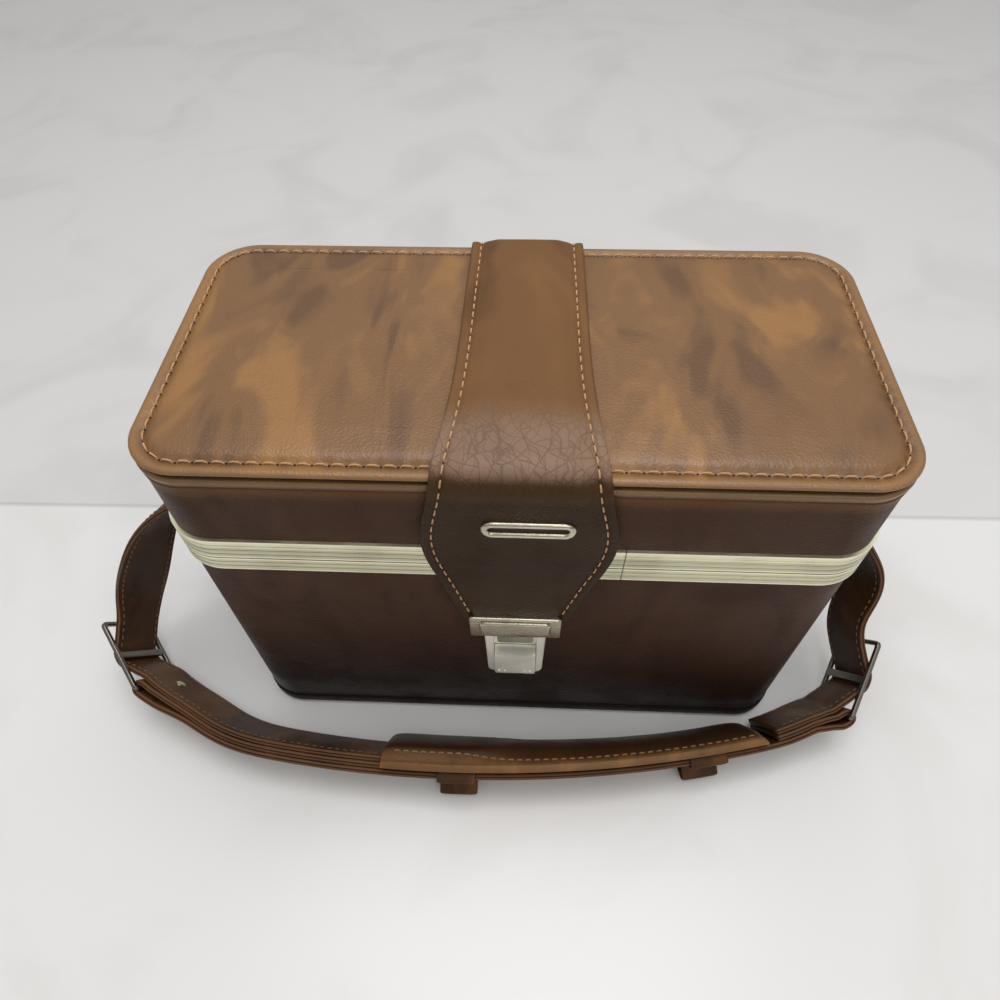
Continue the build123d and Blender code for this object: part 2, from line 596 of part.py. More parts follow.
# Side lugs: a plate with a headed post, and the ring that swings on it
for side, side_name in ((-1, "left"), (1, "right")):
    post_end = RING_OFFSET + RING_THICKNESS / 2 + RING_CLEARANCE
    with BuildPart() as lug:
        with BuildSketch(Plane(origin=(side * SIDE_X, 0, LUG_HEIGHT), x_dir=(0, 1, 0), z_dir=(side, 0, 0))):
            RectangleRounded(LUG_PLATE_WIDTH, LUG_PLATE_HEIGHT, LUG_CORNER)
        extrude(amount=LUG_PLATE_THICKNESS)
        with BuildSketch(Plane(origin=(side * SIDE_X, 0, LUG_HEIGHT), x_dir=(0, 1, 0), z_dir=(side, 0, 0))):
            Circle(POST_RADIUS)
        extrude(amount=post_end)
        with BuildSketch(
            Plane(origin=(side * (SIDE_X + post_end), 0, LUG_HEIGHT), x_dir=(0, 1, 0), z_dir=(side, 0, 0))
        ):
            Circle(POST_HEAD_RADIUS)
        extrude(amount=POST_HEAD_THICKNESS)
        outer_face = lug.faces().sort_by(Axis.X)[0 if side < 0 else -1]
        fillet(outer_face.edges(), POST_HEAD_EDGE)
    save(lug, f"lug_{side_name}")

    ring_half = STRAP_WIDTH / 2 + RING_SIDE_CLEARANCE
    bow_inner = POST_RADIUS + RING_CLEARANCE
    with BuildPart() as strap_ring:
        with BuildSketch(Plane(origin=(side * RING_X, 0, LUG_HEIGHT), x_dir=(0, 1, 0), z_dir=(1, 0, 0))):
            Circle(bow_inner + RING_WIRE)
            with Locations((-ring_half, -RING_DROP), (ring_half, -RING_DROP)):
                Circle(RING_WIRE / 2 + RING_CORNER / 2)
            make_hull()
        extrude(amount=RING_THICKNESS / 2, both=True)
        with BuildSketch(Plane(origin=(side * RING_X, 0, LUG_HEIGHT), x_dir=(0, 1, 0), z_dir=(1, 0, 0))):
            Circle(bow_inner)
            with Locations((0, RING_WIRE - RING_DROP)):
                with GridLocations(2 * (ring_half - RING_CORNER), 0, 2, 1):
                    Circle(RING_CORNER)
            make_hull()
        extrude(amount=RING_THICKNESS, both=True, mode=Mode.SUBTRACT)
    save(strap_ring, f"strap_ring_{side_name}")


def lean_point(across, inward):
    """Place of a point of the leaning strap section: distance outwards and height."""
    lean = radians(STRAP_LEAN)
    outwards = across * sin(lean) - inward * cos(lean)
    height = STRAP_LIFT + across * cos(lean) + inward * sin(lean)
    return outwards, height


def arc_point(heading, radius, centre):
    """Point on a circle about centre where the path heads heading degrees from +X."""
    angle = radians(heading)
    return centre[0] + radius * sin(angle), centre[1] - radius * cos(angle)


FRONT_CENTRE = (FRONT_ARC_X, FRONT_ARC_CENTRE_Y)


def bend_centre(heading):
    """Centre of the tighter bend that follows the front arc at one of its ends."""
    return arc_point(heading, FRONT_ARC_RADIUS - BEND_RADIUS, FRONT_CENTRE)


def leaning_band(across, inward, headings, radius, centre, corner=0.0, mode=Mode.ADD):
    """Revolve a leaning rectangle about a vertical axis, from heading start to heading finish."""
    start, finish = headings
    angle = radians(start)
    foot = arc_point(start, radius, centre)
    outwards = (sin(angle), -cos(angle), 0)
    section = Plane(origin=(foot[0], foot[1], 0), x_dir=outwards, z_dir=(-cos(angle), -sin(angle), 0))
    corners = [
        lean_point(across[0], inward[0]),
        lean_point(across[1], inward[0]),
        lean_point(across[1], inward[1]),
        lean_point(across[0], inward[1]),
    ]
    with BuildSketch(section) as outline:
        with BuildLine():
            Polyline(*corners, close=True)
        make_face()
        if corner > 0:
            fillet(outline.vertices(), corner)
    axis = Axis((centre[0], centre[1], 0), (0, 0, 1))
    revolve(outline.sketch, axis=axis, revolution_arc=finish - start, mode=mode)


def front_run(inward_low, inward_high, start, finish):
    """One strap layer along the front arc and, past its ends, the tighter bends."""
    across = (0, STRAP_WIDTH)
    inward = (inward_low, inward_high)
    low = max(start, -FRONT_ARC_LEFT)
    high = min(finish, FRONT_ARC_RIGHT)
    if high > low:
        leaning_band(across, inward, (low, high), FRONT_ARC_RADIUS, FRONT_CENTRE)
    if start < -FRONT_ARC_LEFT:
        leaning_band(across, inward, (start, -FRONT_ARC_LEFT), BEND_RADIUS, bend_centre(-FRONT_ARC_LEFT))
    if finish > FRONT_ARC_RIGHT:
        right_start = max(start, FRONT_ARC_RIGHT)
        leaning_band(across, inward, (right_start, finish), BEND_RADIUS, bend_centre(FRONT_ARC_RIGHT))


class StrapEnd:
    """The straight run at one end of the front strap, and the buckle frame that follows it."""

    def __init__(self, side):
        self.side = side
        heading = -LEFT_END_HEADING if side < 0 else RIGHT_END_HEADING
        arc_end = -FRONT_ARC_LEFT if side < 0 else FRONT_ARC_RIGHT
        self.run = LEFT_RUN if side < 0 else RIGHT_RUN
        rise = radians(LEFT_RISE if side < 0 else RIGHT_RISE)
        bend_end = arc_point(heading, BEND_RADIUS, bend_centre(arc_end))
        angle = radians(heading)
        lean = radians(STRAP_LEAN)
        level = Vector(side * cos(angle), side * sin(angle), 0)
        outward = Vector(sin(angle), -cos(angle), 0)
        self.along = level * cos(rise) + Vector(0, 0, sin(rise))
        upward = Vector(0, 0, cos(rise)) - level * sin(rise)
        self.inward = outward * -cos(lean) + upward * sin(lean)
        self.across = outward * sin(lean) + upward * cos(lean)
        self.origin = Vector(bend_end[0], bend_end[1], STRAP_LIFT) + self.along * self.run
        self.plane = Plane(origin=self.origin, x_dir=self.along, z_dir=self.along.cross(self.inward))
        self.width = STRAP_WIDTH * side
        turn = radians(LEFT_BUCKLE_TURN if side < 0 else RIGHT_BUCKLE_TURN)
        self.bar = (0.0, LEFT_BAR_INWARD if side < 0 else RIGHT_BAR_INWARD)
        self.ring_along = (cos(turn), sin(turn))
        self.ring_inward = (-sin(turn), cos(turn))

    def in_ring(self, along, inward):
        """Local point from a distance along the buckle, from its lower bar, and one inwards of it."""
        return (
            self.bar[0] + along * self.ring_along[0] + inward * self.ring_inward[0],
            self.bar[1] + along * self.ring_along[1] + inward * self.ring_inward[1],
        )

    def space(self, point, across=0.0):
        """World position of a local point, at a distance across the strap."""
        return self.origin + self.along * point[0] + self.inward * point[1] + self.across * across


ENDS = (("left", StrapEnd(-1)), ("right", StrapEnd(1)))


def layer_line(end, near, flat):
    """Points of a layer's outer line: flat at the far end of the run, spread apart by the buckle."""
    far = -end.run * SPREAD_SHARE
    return [(-end.run - RUN_OVERLAP, flat), (far, flat), (far / 2, near), (0, near)]


def layer_outline(end, near, flat):
    """Corners of one strap layer along a run: its outer line, and that line moved in by the thickness."""
    outer = layer_line(end, near, flat)
    inner = [(along, inward + STRAP_THICKNESS) for along, inward in reversed(outer)]
    return outer + inner


# Main strap: the outer layer from buckle to buckle, folded back round each lower bar
with BuildPart() as main_strap:
    front_run(0, STRAP_THICKNESS, -LEFT_END_HEADING, RIGHT_END_HEADING)
    for end_name, end in ENDS:
        bar_along, bar_inward = end.bar
        fold_size = 2 * (FOLD_RADIUS + STRAP_THICKNESS)
        with BuildSketch(end.plane) as fold:
            with Locations(end.bar):
                Circle(FOLD_RADIUS + STRAP_THICKNESS)
                Circle(FOLD_RADIUS, mode=Mode.SUBTRACT)
            with Locations((bar_along - fold_size / 2, bar_inward)):
                Rectangle(fold_size, fold_size, mode=Mode.SUBTRACT)
        extrude(fold.sketch, amount=end.width)
        with BuildSketch(end.plane) as layers:
            with BuildLine():
                Polyline(*layer_outline(end, bar_inward - FOLD_RADIUS - STRAP_THICKNESS, 0), close=True)
            make_face()
            with BuildLine():
                Polyline(*layer_outline(end, bar_inward + FOLD_RADIUS, RETURN_FLAT), close=True)
            make_face()
        extrude(layers.sketch, amount=end.width)
    front_run(RETURN_FLAT, RETURN_FLAT + STRAP_THICKNESS, -LEFT_END_HEADING, -LEFT_TAIL_END)
    front_run(RETURN_FLAT, RETURN_FLAT + STRAP_THICKNESS, RIGHT_TAIL_END, RIGHT_END_HEADING)
save(main_strap, "main_strap")

# Buckles: a bent wire frame with a flat centre bar
for end_name, end in ENDS:
    frame_along = 2 * BUCKLE_PITCH
    inner_half = STRAP_WIDTH / 2 + BUCKLE_SIDE_CLEARANCE
    outer_half = inner_half + BUCKLE_WIRE
    middle = end.space(end.in_ring(BUCKLE_PITCH, 0), STRAP_WIDTH / 2)
    along = end.along * end.ring_along[0] + end.inward * end.ring_along[1]
    normal = end.along * end.ring_inward[0] + end.inward * end.ring_inward[1]
    with BuildPart() as buckle:
        with BuildSketch(Plane(origin=middle, x_dir=along, z_dir=normal)):
            RectangleRounded(frame_along + BUCKLE_WIRE, 2 * outer_half, BUCKLE_CORNER)
            RectangleRounded(frame_along - BUCKLE_WIRE, 2 * inner_half, BUCKLE_INNER_CORNER, mode=Mode.SUBTRACT)
            Rectangle(CENTRE_BAR_WIDTH, inner_half + outer_half)
        extrude(amount=BUCKLE_WIRE / 2, both=True)
        flat_faces = buckle.faces().sort_by(Axis(middle, normal))
        fillet(flat_faces[0].edges() + flat_faces[-1].edges(), BUCKLE_EDGE)
    save(buckle, f"buckle_{end_name}")

# End straps: hang from the ring, thread the buckle, and lie on the inside of the main strap
for end_name, end in ENDS:
    side = end.side
    pass_offset = BUCKLE_WIRE / 2 + STRAP_THICKNESS / 2 + THREAD_CLEARANCE
    fold_offset = FOLD_RADIUS + STRAP_THICKNESS * 1.5 + THREAD_CLEARANCE
    entry = end.in_ring(2 * BUCKLE_PITCH - ENTRY_BACK, pass_offset + LEAD_IN)
    thread = [
        entry,
        end.in_ring(BUCKLE_PITCH + THREAD_REACH, -pass_offset - THREAD_SLACK),
        end.in_ring(BUCKLE_PITCH - THREAD_REACH, -pass_offset - THREAD_SLACK),
        end.in_ring(FOLD_REACH, fold_offset + FOLD_SLACK),
    ]
    tail_near = end.bar[1] + fold_offset
    tail_middle = layer_line(end, tail_near, TAIL_FLAT + STRAP_THICKNESS / 2)
    tail_points = [tail_middle[2], tail_middle[1], tail_middle[0]]
    with BuildPart() as end_strap:
        with BuildSketch(end.plane) as threaded:
            with BuildLine():
                FilletPolyline(*thread, *tail_points, radius=THREAD_BEND)
            trace(line_width=STRAP_THICKNESS)
        extrude(threaded.sketch, amount=end.width)
        tail_top = TAIL_FLAT + STRAP_THICKNESS
        if side < 0:
            front_run(TAIL_FLAT, tail_top, -LEFT_END_HEADING, -LEFT_TAIL_END)
        else:
            front_run(TAIL_FLAT, tail_top, RIGHT_TAIL_END, RIGHT_END_HEADING)

        # The hanging length turns from level at the ring to the lean of the buckle
        start = Vector(side * RING_X, 0, RING_BAR_HEIGHT + EYE_RADIUS + STRAP_THICKNESS / 2)
        finish = end.space(entry, STRAP_WIDTH / 2)
        approach = end.space(thread[1], STRAP_WIDTH / 2)
        hang = []
        for share, out, back, rise in LEFT_HANG if side < 0 else RIGHT_HANG:
            hang.append(start + (finish - start) * share + Vector(side * out, back, rise))
        twist = LEFT_HANG_TWIST if side < 0 else RIGHT_HANG_TWIST
        twist_to = Vector(side * twist[0], twist[1], twist[2])
        toward_buckle = (approach - finish).normalized()
        with BuildLine(mode=Mode.PRIVATE) as centre_line:
            Spline(start, *hang, finish, tangents=((side, 0, 0), toward_buckle))
        route = centre_line.edges()[0]
        sections = []
        for index in range(HANG_SECTIONS + 1):
            share = index / HANG_SECTIONS
            heading_to = route % share
            eased = share * share * (3 - 2 * share)
            width_to = Vector(0, -1, 0) * (1 - eased) + end.across * eased + twist_to * sin(pi * share)
            width_to = (width_to - heading_to * width_to.dot(heading_to)).normalized()
            with BuildSketch(Plane(origin=route @ share, x_dir=width_to, z_dir=heading_to)) as section:
                Rectangle(STRAP_WIDTH, STRAP_THICKNESS)
            sections.append(section.sketch)
        loft(sections, ruled=True)
        with BuildSketch(Plane(origin=(side * RING_X, 0, RING_BAR_HEIGHT), x_dir=(1, 0, 0), z_dir=(0, -1, 0))) as eye:
            Circle(EYE_RADIUS + STRAP_THICKNESS)
        extrude(eye.sketch, amount=STRAP_WIDTH / 2, both=True)
        with BuildSketch(Plane(origin=(side * RING_X, 0, RING_BAR_HEIGHT), x_dir=(1, 0, 0), z_dir=(0, -1, 0))) as bore:
            Rectangle(RING_THICKNESS + 2 * EYE_CLEARANCE, EYE_HEIGHT)
        extrude(bore.sketch, amount=STRAP_WIDTH, both=True, mode=Mode.SUBTRACT)
    save(end_strap, f"end_strap_{end_name}")

# Shoulder pad and the two keepers that hold it on the strap
with BuildPart() as shoulder_pad:
    leaning_band(
        (-PAD_LOWER_MARGIN, STRAP_WIDTH + PAD_UPPER_MARGIN),
        (PAD_OUTER, PAD_OUTER + PAD_THICKNESS),
        (-PAD_LEFT, PAD_RIGHT),
        FRONT_ARC_RADIUS,
        FRONT_CENTRE,
        corner=PAD_ROUND,
    )
save(shoulder_pad, "shoulder_pad")

for keeper_name, place in KEEPER_PLACES:
    half_turn = degrees(KEEPER_LENGTH / 2 / FRONT_ARC_RADIUS)
    headings = (place - half_turn, place + half_turn)
    beyond = KEEPER_CLEARANCE + KEEPER_BAND
    with BuildPart() as keeper:
        leaning_band(
            (-beyond, STRAP_WIDTH + beyond),
            (-beyond, PAD_OUTER + PAD_THICKNESS / 2),
            headings,
            FRONT_ARC_RADIUS,
            FRONT_CENTRE,
            corner=KEEPER_ROUND,
        )
        leaning_band(
            (-KEEPER_CLEARANCE, STRAP_WIDTH + KEEPER_CLEARANCE),
            (-KEEPER_CLEARANCE, PAD_OUTER),
            headings,
            FRONT_ARC_RADIUS,
            FRONT_CENTRE,
            mode=Mode.SUBTRACT,
        )
        add(shoulder_pad.part, mode=Mode.SUBTRACT)
    save(keeper, f"keeper_{keeper_name}")
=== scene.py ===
"""Dresses a hard camera case in brown leather and sets it on a pale floor.

Sizes are written in millimetres, as on a maker's drawing, and turned into metres when a mesh is made.
The case stands on z = 0 with its front towards -Y.
"""

import logging
from dataclasses import dataclass
from enum import Enum
from typing import Iterable, Optional, Sequence

import bmesh
import bpy
import numpy as np
from mathutils import Matrix, Vector


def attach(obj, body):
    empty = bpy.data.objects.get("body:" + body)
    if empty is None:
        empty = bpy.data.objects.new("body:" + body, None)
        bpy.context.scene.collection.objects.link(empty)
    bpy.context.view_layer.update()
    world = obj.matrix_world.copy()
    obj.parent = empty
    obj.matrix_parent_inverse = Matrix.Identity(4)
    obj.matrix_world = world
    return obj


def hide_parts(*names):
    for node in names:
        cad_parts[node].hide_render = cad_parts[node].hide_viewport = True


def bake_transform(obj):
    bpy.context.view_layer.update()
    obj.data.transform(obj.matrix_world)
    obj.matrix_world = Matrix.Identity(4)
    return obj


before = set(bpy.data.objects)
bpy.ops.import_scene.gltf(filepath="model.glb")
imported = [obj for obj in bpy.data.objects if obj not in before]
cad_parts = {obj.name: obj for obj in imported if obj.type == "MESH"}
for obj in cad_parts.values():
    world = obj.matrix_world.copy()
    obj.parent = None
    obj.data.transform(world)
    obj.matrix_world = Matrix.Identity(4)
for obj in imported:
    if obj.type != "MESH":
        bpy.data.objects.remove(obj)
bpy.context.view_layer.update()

LOG = logging.getLogger("camera_case")
MM = 0.001
UP = np.array((0.0, 0.0, 1.0))
BOTTOM_INSET = 20.0
Colour = tuple[float, float, float]
Shade = tuple[int, int, int]
Array = np.ndarray
Socket = bpy.types.NodeSocket


class Body(Enum):
    """The moving bodies that pieces ride on."""

    BASE = "base"
    LID = "lid"
    FLAP = "flap"
    STRAP = "strap"
    PAD = "pad"


class Side(Enum):
    """The two ends of the strap, as seen from the front."""

    LEFT = -1
    RIGHT = 1


def both(name: str) -> tuple[str, str]:
    """The names of a left and a right piece."""
    return f"{name}_left", f"{name}_right"


def srgb(red: int, green: int, blue: int) -> tuple[float, float, float, float]:
    """Linear colour of an 8-bit display colour, with an alpha of one."""
    value = np.array((red, green, blue)) / 255.0
    return (*np.where(value <= 0.04045, value / 12.92, ((value + 0.055) / 1.055) ** 2.4).tolist(), 1.0)


def unit(vectors: Array) -> Array:
    """Vectors divided by their own lengths along the last axis."""
    return vectors / np.linalg.norm(vectors, axis=-1, keepdims=True)


def squared(vectors: Array, along: Array) -> Array:
    """Unit vectors turned square to others: their share along them is taken off."""
    return unit(vectors - along * np.sum(vectors * along, axis=1, keepdims=True))


def smooth_through(
    points: Sequence, count: int, start: Optional[Sequence] = None, finish: Optional[Sequence] = None
) -> Array:
    """Cubic spline through points, with its speed measured along the chords.

    The second derivatives solve the usual tridiagonal system. An end with a given unit tangent is
    clamped to it, and any other end is natural, so its second derivative is zero.

    Args:
        points: The points to pass through, one per row.
        count: How many samples to return, evenly spaced along the chords.
        start: Unit tangent at the first point, if it is fixed.
        finish: Unit tangent at the last point, if it is fixed.

    Returns:
        The samples, one per row.
    """
    knots = np.asarray(points, float)
    step = np.maximum(np.linalg.norm(np.diff(knots, axis=0), axis=1), 1e-9)
    place = np.concatenate(((0.0,), np.cumsum(step)))
    size = len(knots)
    matrix = np.zeros((size, size))
    right = np.zeros_like(knots)
    slope = np.diff(knots, axis=0) / step[:, None]
    inner = np.arange(1, size - 1)
    matrix[inner, inner - 1] = step[:-1]
    matrix[inner, inner] = 2 * (step[:-1] + step[1:])
    matrix[inner, inner + 1] = step[1:]
    right[1:-1] = 6 * np.diff(slope, axis=0)
    matrix[0, 0] = matrix[-1, -1] = 1.0
    if start is not None:
        matrix[0, :2] = 2 * step[0], step[0]
        right[0] = 6 * (slope[0] - np.asarray(start, float))
    if finish is not None:
        matrix[-1, -2:] = step[-1], 2 * step[-1]
        right[-1] = 6 * (np.asarray(finish, float) - slope[-1])
    bend = np.linalg.solve(matrix, right)
    wanted = np.linspace(0, place[-1], count)
    span = np.clip(np.searchsorted(place, wanted, side="right") - 1, 0, size - 2)
    width = step[span][:, None]
    before = (wanted - place[span])[:, None]
    after = width - before
    return (
        bend[span] * after**3 / (6 * width)
        + bend[span + 1] * before**3 / (6 * width)
        + (knots[span] / width - bend[span] * width / 6) * after
        + (knots[span + 1] / width - bend[span + 1] * width / 6) * before
    )


def rounded_runs(points: Sequence, radius: float, step: float) -> Array:
    """Straight runs whose corners are rounded by arcs of one radius.

    At each corner the arc starts radius times the tangent of half the turn before it. The arc is
    centre + radius * (cos, sin) in the plane of its two runs.

    Args:
        points: The corners, one per row.
        radius: The radius of the arcs.
        step: The distance between samples.

    Returns:
        Samples along the whole path, one per row.
    """
    corners = np.asarray(points, float)
    runs = unit(np.diff(corners, axis=0))
    pieces = [corners[:1]]
    for index in range(1, len(corners) - 1):
        before, after = runs[index - 1], runs[index]
        turn = np.arccos(np.clip(before @ after, -1, 1))
        reach = radius * np.tan(turn / 2)
        begin = corners[index] - before * reach
        inward = unit(after - before * (before @ after))
        swept = np.linspace(0, turn, max(3, int(radius * turn / step) + 2))[:, None]
        pieces.append(begin + before * radius * np.sin(swept) + inward * radius * (1 - np.cos(swept)))
    pieces.append(corners[-1:])
    return spaced(np.concatenate(pieces), step)


def spaced(points: Array, step: float) -> Array:
    """The same line sampled again at even distances along its length.

    Args:
        points: Points of the line, one per row.
        step: The wanted distance between samples.

    Returns:
        The new samples, with both ends kept.
    """
    length = run_lengths(points)
    wanted = np.linspace(0, length[-1], max(2, int(round(length[-1] / step)) + 1))
    return np.stack([np.interp(wanted, length, column) for column in points.T], axis=1)


def run_lengths(points: Array) -> Array:
    """Distance of each point from the first one, along the line."""
    return np.concatenate(((0.0,), np.cumsum(np.linalg.norm(np.diff(points, axis=0), axis=1))))


def eased(points: Array, passes: int) -> Array:
    """A line with its kinks softened: each pass moves every inner point to a quarter, half, quarter mean."""
    result = points.copy()
    for _ in range(passes):
        result[1:-1] = 0.25 * result[:-2] + 0.5 * result[1:-1] + 0.25 * result[2:]
    return result


def calmed(points: Array, passes: int, held: Array, reach: float) -> Array:
    """A line smoothed everywhere but near some places, where it keeps its course.

    Its share of the old course is exp(-(d / reach)^4), with d the distance to the nearest of them.

    Args:
        points: The line, one point per row.
        passes: How often it is eased.
        held: The places, one per row.
        reach: Distance over which it is held.

    Returns:
        The new line.
    """
    nearest = np.linalg.norm(points[:, None] - held[None], axis=2).min(axis=1)
    share = np.exp(-((nearest / reach) ** 4))[:, None]
    return points * share + eased(points, passes) * (1 - share)


def ramp(value: Array, low: float, high: float) -> Array:
    """Smooth step from 0 at low to 1 at high: 3 t squared minus 2 t cubed."""
    share = np.clip((value - low) / (high - low), 0, 1)
    return share * share * (3 - 2 * share)


def ripple(x: Array, y: Array, seed: int, size: float) -> Array:
    """Gentle unevenness between -1 and 1: the mean of seven sine waves in seeded directions.

    Args:
        x: First coordinate, in millimetres.
        y: Second coordinate, in millimetres.
        seed: Number that fixes the directions.
        size: Typical wavelength, in millimetres.

    Returns:
        The height at each place.
    """
    source = np.random.default_rng(seed)
    total = np.zeros(np.broadcast(x, y).shape)
    for heading, phase, scale in zip(
        source.uniform(0, np.pi, 7), source.uniform(0, 2 * np.pi, 7), source.uniform(0.7, 1.6, 7)
    ):
        total = total + np.sin(2 * np.pi * (x * np.cos(heading) + y * np.sin(heading)) / (size * scale) + phase)
    return total / 7


def grid_faces(rows: int, columns: int, closed_rows: bool = False, closed_columns: bool = False) -> Array:
    """Four-sided faces of a grid of points numbered row by row.

    Args:
        rows: Number of rows of points.
        columns: Number of points in a row.
        closed_rows: Whether the last row joins the first.
        closed_columns: Whether the end of each row joins its start.

    Returns:
        One face per line, as four point numbers.
    """
    row = np.arange(rows if closed_rows else rows - 1)[:, None]
    column = np.arange(columns if closed_columns else columns - 1)[None, :]
    next_row = (row + 1) % rows
    next_column = (column + 1) % columns
    corners = ((row, column), (row, next_column), (next_row, next_column), (next_row, column))
    return np.stack([down * columns + along for down, along in corners], axis=-1).reshape(-1, 4)


@dataclass
class Shape:
    """Points in millimetres, their faces, and values that a finish reads at each point."""

    points: Array
    faces: list
    marks: dict[str, Array]

    @staticmethod
    def swept(sections: Array, marks: Optional[dict] = None, closed_path: bool = False) -> "Shape":
        """Skin over closed sections that follow one another along a path.

        Args:
            sections: Points as path step, place round the section, coordinate.
            marks: Values per point, with the first two of those axes.
            closed_path: Whether the last section joins the first. If not, each end gets a flat face.

        Returns:
            The closed skin.
        """
        steps, around = sections.shape[:2]
        faces = grid_faces(steps, around, closed_path, True).tolist()
        if not closed_path:
            faces.append(list(range(around))[::-1])
            faces.append(list(range((steps - 1) * around, steps * around)))
        flat = {key: np.broadcast_to(value, (steps, around)).reshape(-1) for key, value in (marks or {}).items()}
        return Shape(sections.reshape(-1, 3), faces, flat)

    @staticmethod
    def merged(shapes: Sequence["Shape"]) -> "Shape":
        """Several shapes with the same marks as one."""
        shifts = np.cumsum([0] + [len(shape.points) for shape in shapes]).tolist()
        faces = [[corner + shift for corner in face] for shape, shift in zip(shapes, shifts) for face in shape.faces]
        marks = {key: np.concatenate([shape.marks[key] for shape in shapes]) for key in shapes[0].marks}
        return Shape(np.concatenate([shape.points for shape in shapes]), faces, marks)

    def piece(self, name: str, weld: bool = True) -> bpy.types.Object:
        """Make the Blender object, with its place in its mesh and its faces outwards.

        Args:
            name: The object's name.
            weld: Whether points that coincide are joined.

        Returns:
            The new object, at the origin.
        """
        mesh = bpy.data.meshes.new(name)
        mesh.from_pydata((self.points * MM).tolist(), [], self.faces)
        for key, value in self.marks.items():
            mesh.attributes.new(key, "FLOAT", "POINT").data.foreach_set("value", value.astype(np.float32))
        shape = bmesh.new()
        shape.from_mesh(mesh)
        if weld:
            bmesh.ops.remove_doubles(shape, verts=shape.verts, dist=2e-6)
        bmesh.ops.recalc_face_normals(shape, faces=shape.faces)
        shape.to_mesh(mesh)
        shape.free()
        mesh.polygons.foreach_set("use_smooth", np.ones(len(mesh.polygons), bool))
        mesh.update()
        made = bpy.data.objects.new(name, mesh)
        bpy.context.scene.collection.objects.link(made)
        return made


@dataclass(frozen=True)
class Plan:
    """A rounded rectangle seen from above, as the case's outline or a padded block's.

    Along the front it runs towards +X, and it goes round anticlockwise.
    """

    half_width: float = 150.0
    half_depth: float = 71.7
    corner: float = 22.0
    long_steps: int = 130
    short_steps: int = 62
    corner_steps: int = 16

    def ring(self, inset: Array) -> Array:
        """Outlines moved inwards, one per inset.

        Every corner is centre + (radius - inset) * (cos, sin), and the sides are straight between them.
        Past the corner's own radius the corners stay sharp.

        Args:
            inset: Distance inwards for each outline. Negative moves outwards.

        Returns:
            Outline, place round it, and x or y.
        """
        inset = np.atleast_1d(inset)[:, None]
        radius = np.maximum(self.corner - inset, 0.0)
        across = self.half_width - inset - radius
        deep = self.half_depth - inset - radius
        long = np.linspace(-1, 1, self.long_steps + 1)[:-1]
        short = np.linspace(-1, 1, self.short_steps + 1)[:-1]
        turn = np.linspace(0, np.pi / 2, self.corner_steps + 1)[:-1]
        pieces = []
        for quarter, (sx, sy) in enumerate(((1, -1), (1, 1), (-1, 1), (-1, -1))):
            if quarter % 2 == 0:
                pieces.append((-sy * across * long, sy * (deep + radius) + 0 * long))
            else:
                pieces.append((sx * (across + radius) + 0 * short, sx * deep * short))
            angle = turn + (quarter - 1) * np.pi / 2
            pieces.append((sx * across + radius * np.cos(angle), sy * deep + radius * np.sin(angle)))
        return np.concatenate([np.stack(piece, axis=-1) for piece in pieces], axis=1)

    def band(self, profile: Array) -> Array:
        """Sections of a profile of inset and height carried round the outline.

        Args:
            profile: Inset and height for each place on the profile.

        Returns:
            Place round the outline, place on the profile, coordinate.
        """
        rings = self.ring(profile[:, 0])
        heights = np.broadcast_to(profile[:, 1, None, None], (*rings.shape[:2], 1))
        return np.swapaxes(np.concatenate((rings, heights), axis=2), 0, 1)

    def band_shape(self, profile: Array) -> Shape:
        """Closed skin of a closed profile carried round the outline."""
        return Shape.swept(self.band(profile), closed_path=True)

    def bowl(self, profile: Array) -> Shape:
        """Skin of a profile of inset and height carried round the outline, with a flat face at each end."""
        return Shape.swept(np.swapaxes(self.band(profile), 0, 1))

    def block(self, profile: Array, top: float, crown: float = 0.0, seed: int = 0) -> Shape:
        """A closed block: rings from its underside up and inwards, with a gridded top and a flat bottom.

        The last ring has sharp corners, so that its four sides match the edges of the grid. The grid's
        height is top + crown * (1 - u^4) * (1 - v^4) with u and v from -1 to 1.

        Args:
            profile: Inset and height of each ring, the last inset being the corner radius.
            top: Height of the grid's edge.
            crown: How much higher the middle is.
            seed: Number that fixes the gentle unevenness of the crown, or 0 for none.

        Returns:
            The closed block, with its inset as the mark "inset".
        """
        rings = np.swapaxes(self.band(profile), 0, 1)
        count, around = rings.shape[:2]
        inset = np.repeat(profile[:, 0], around)
        faces = grid_faces(count, around, closed_columns=True).tolist()
        faces.append(list(range(around))[::-1])
        half_x = self.half_width - profile[-1, 0]
        half_y = self.half_depth - profile[-1, 0]
        u, v = np.meshgrid(
            np.linspace(-1, 1, self.long_steps + 1), np.linspace(-1, 1, self.short_steps + 1), indexing="xy"
        )
        height = top + crown * (1 - u**4) * (1 - v**4)
        if seed:
            unevenness, wavelength = 0.25 * crown, 60
            height = height + unevenness * ripple(u * half_x, v * half_y, seed, wavelength) * (1 - u**8) * (1 - v**8)
        middle = np.stack((u * half_x, v * half_y, height), axis=-1).reshape(-1, 3)
        inner = (grid_faces(self.short_steps + 1, self.long_steps + 1) + count * around).tolist()
        depth = np.minimum((1 - np.abs(u)) * half_x, (1 - np.abs(v)) * half_y).reshape(-1) + profile[-1, 0]
        points = np.concatenate((rings.reshape(-1, 3), middle))
        return Shape(points, faces + inner, {"inset": np.concatenate((inset, depth))})


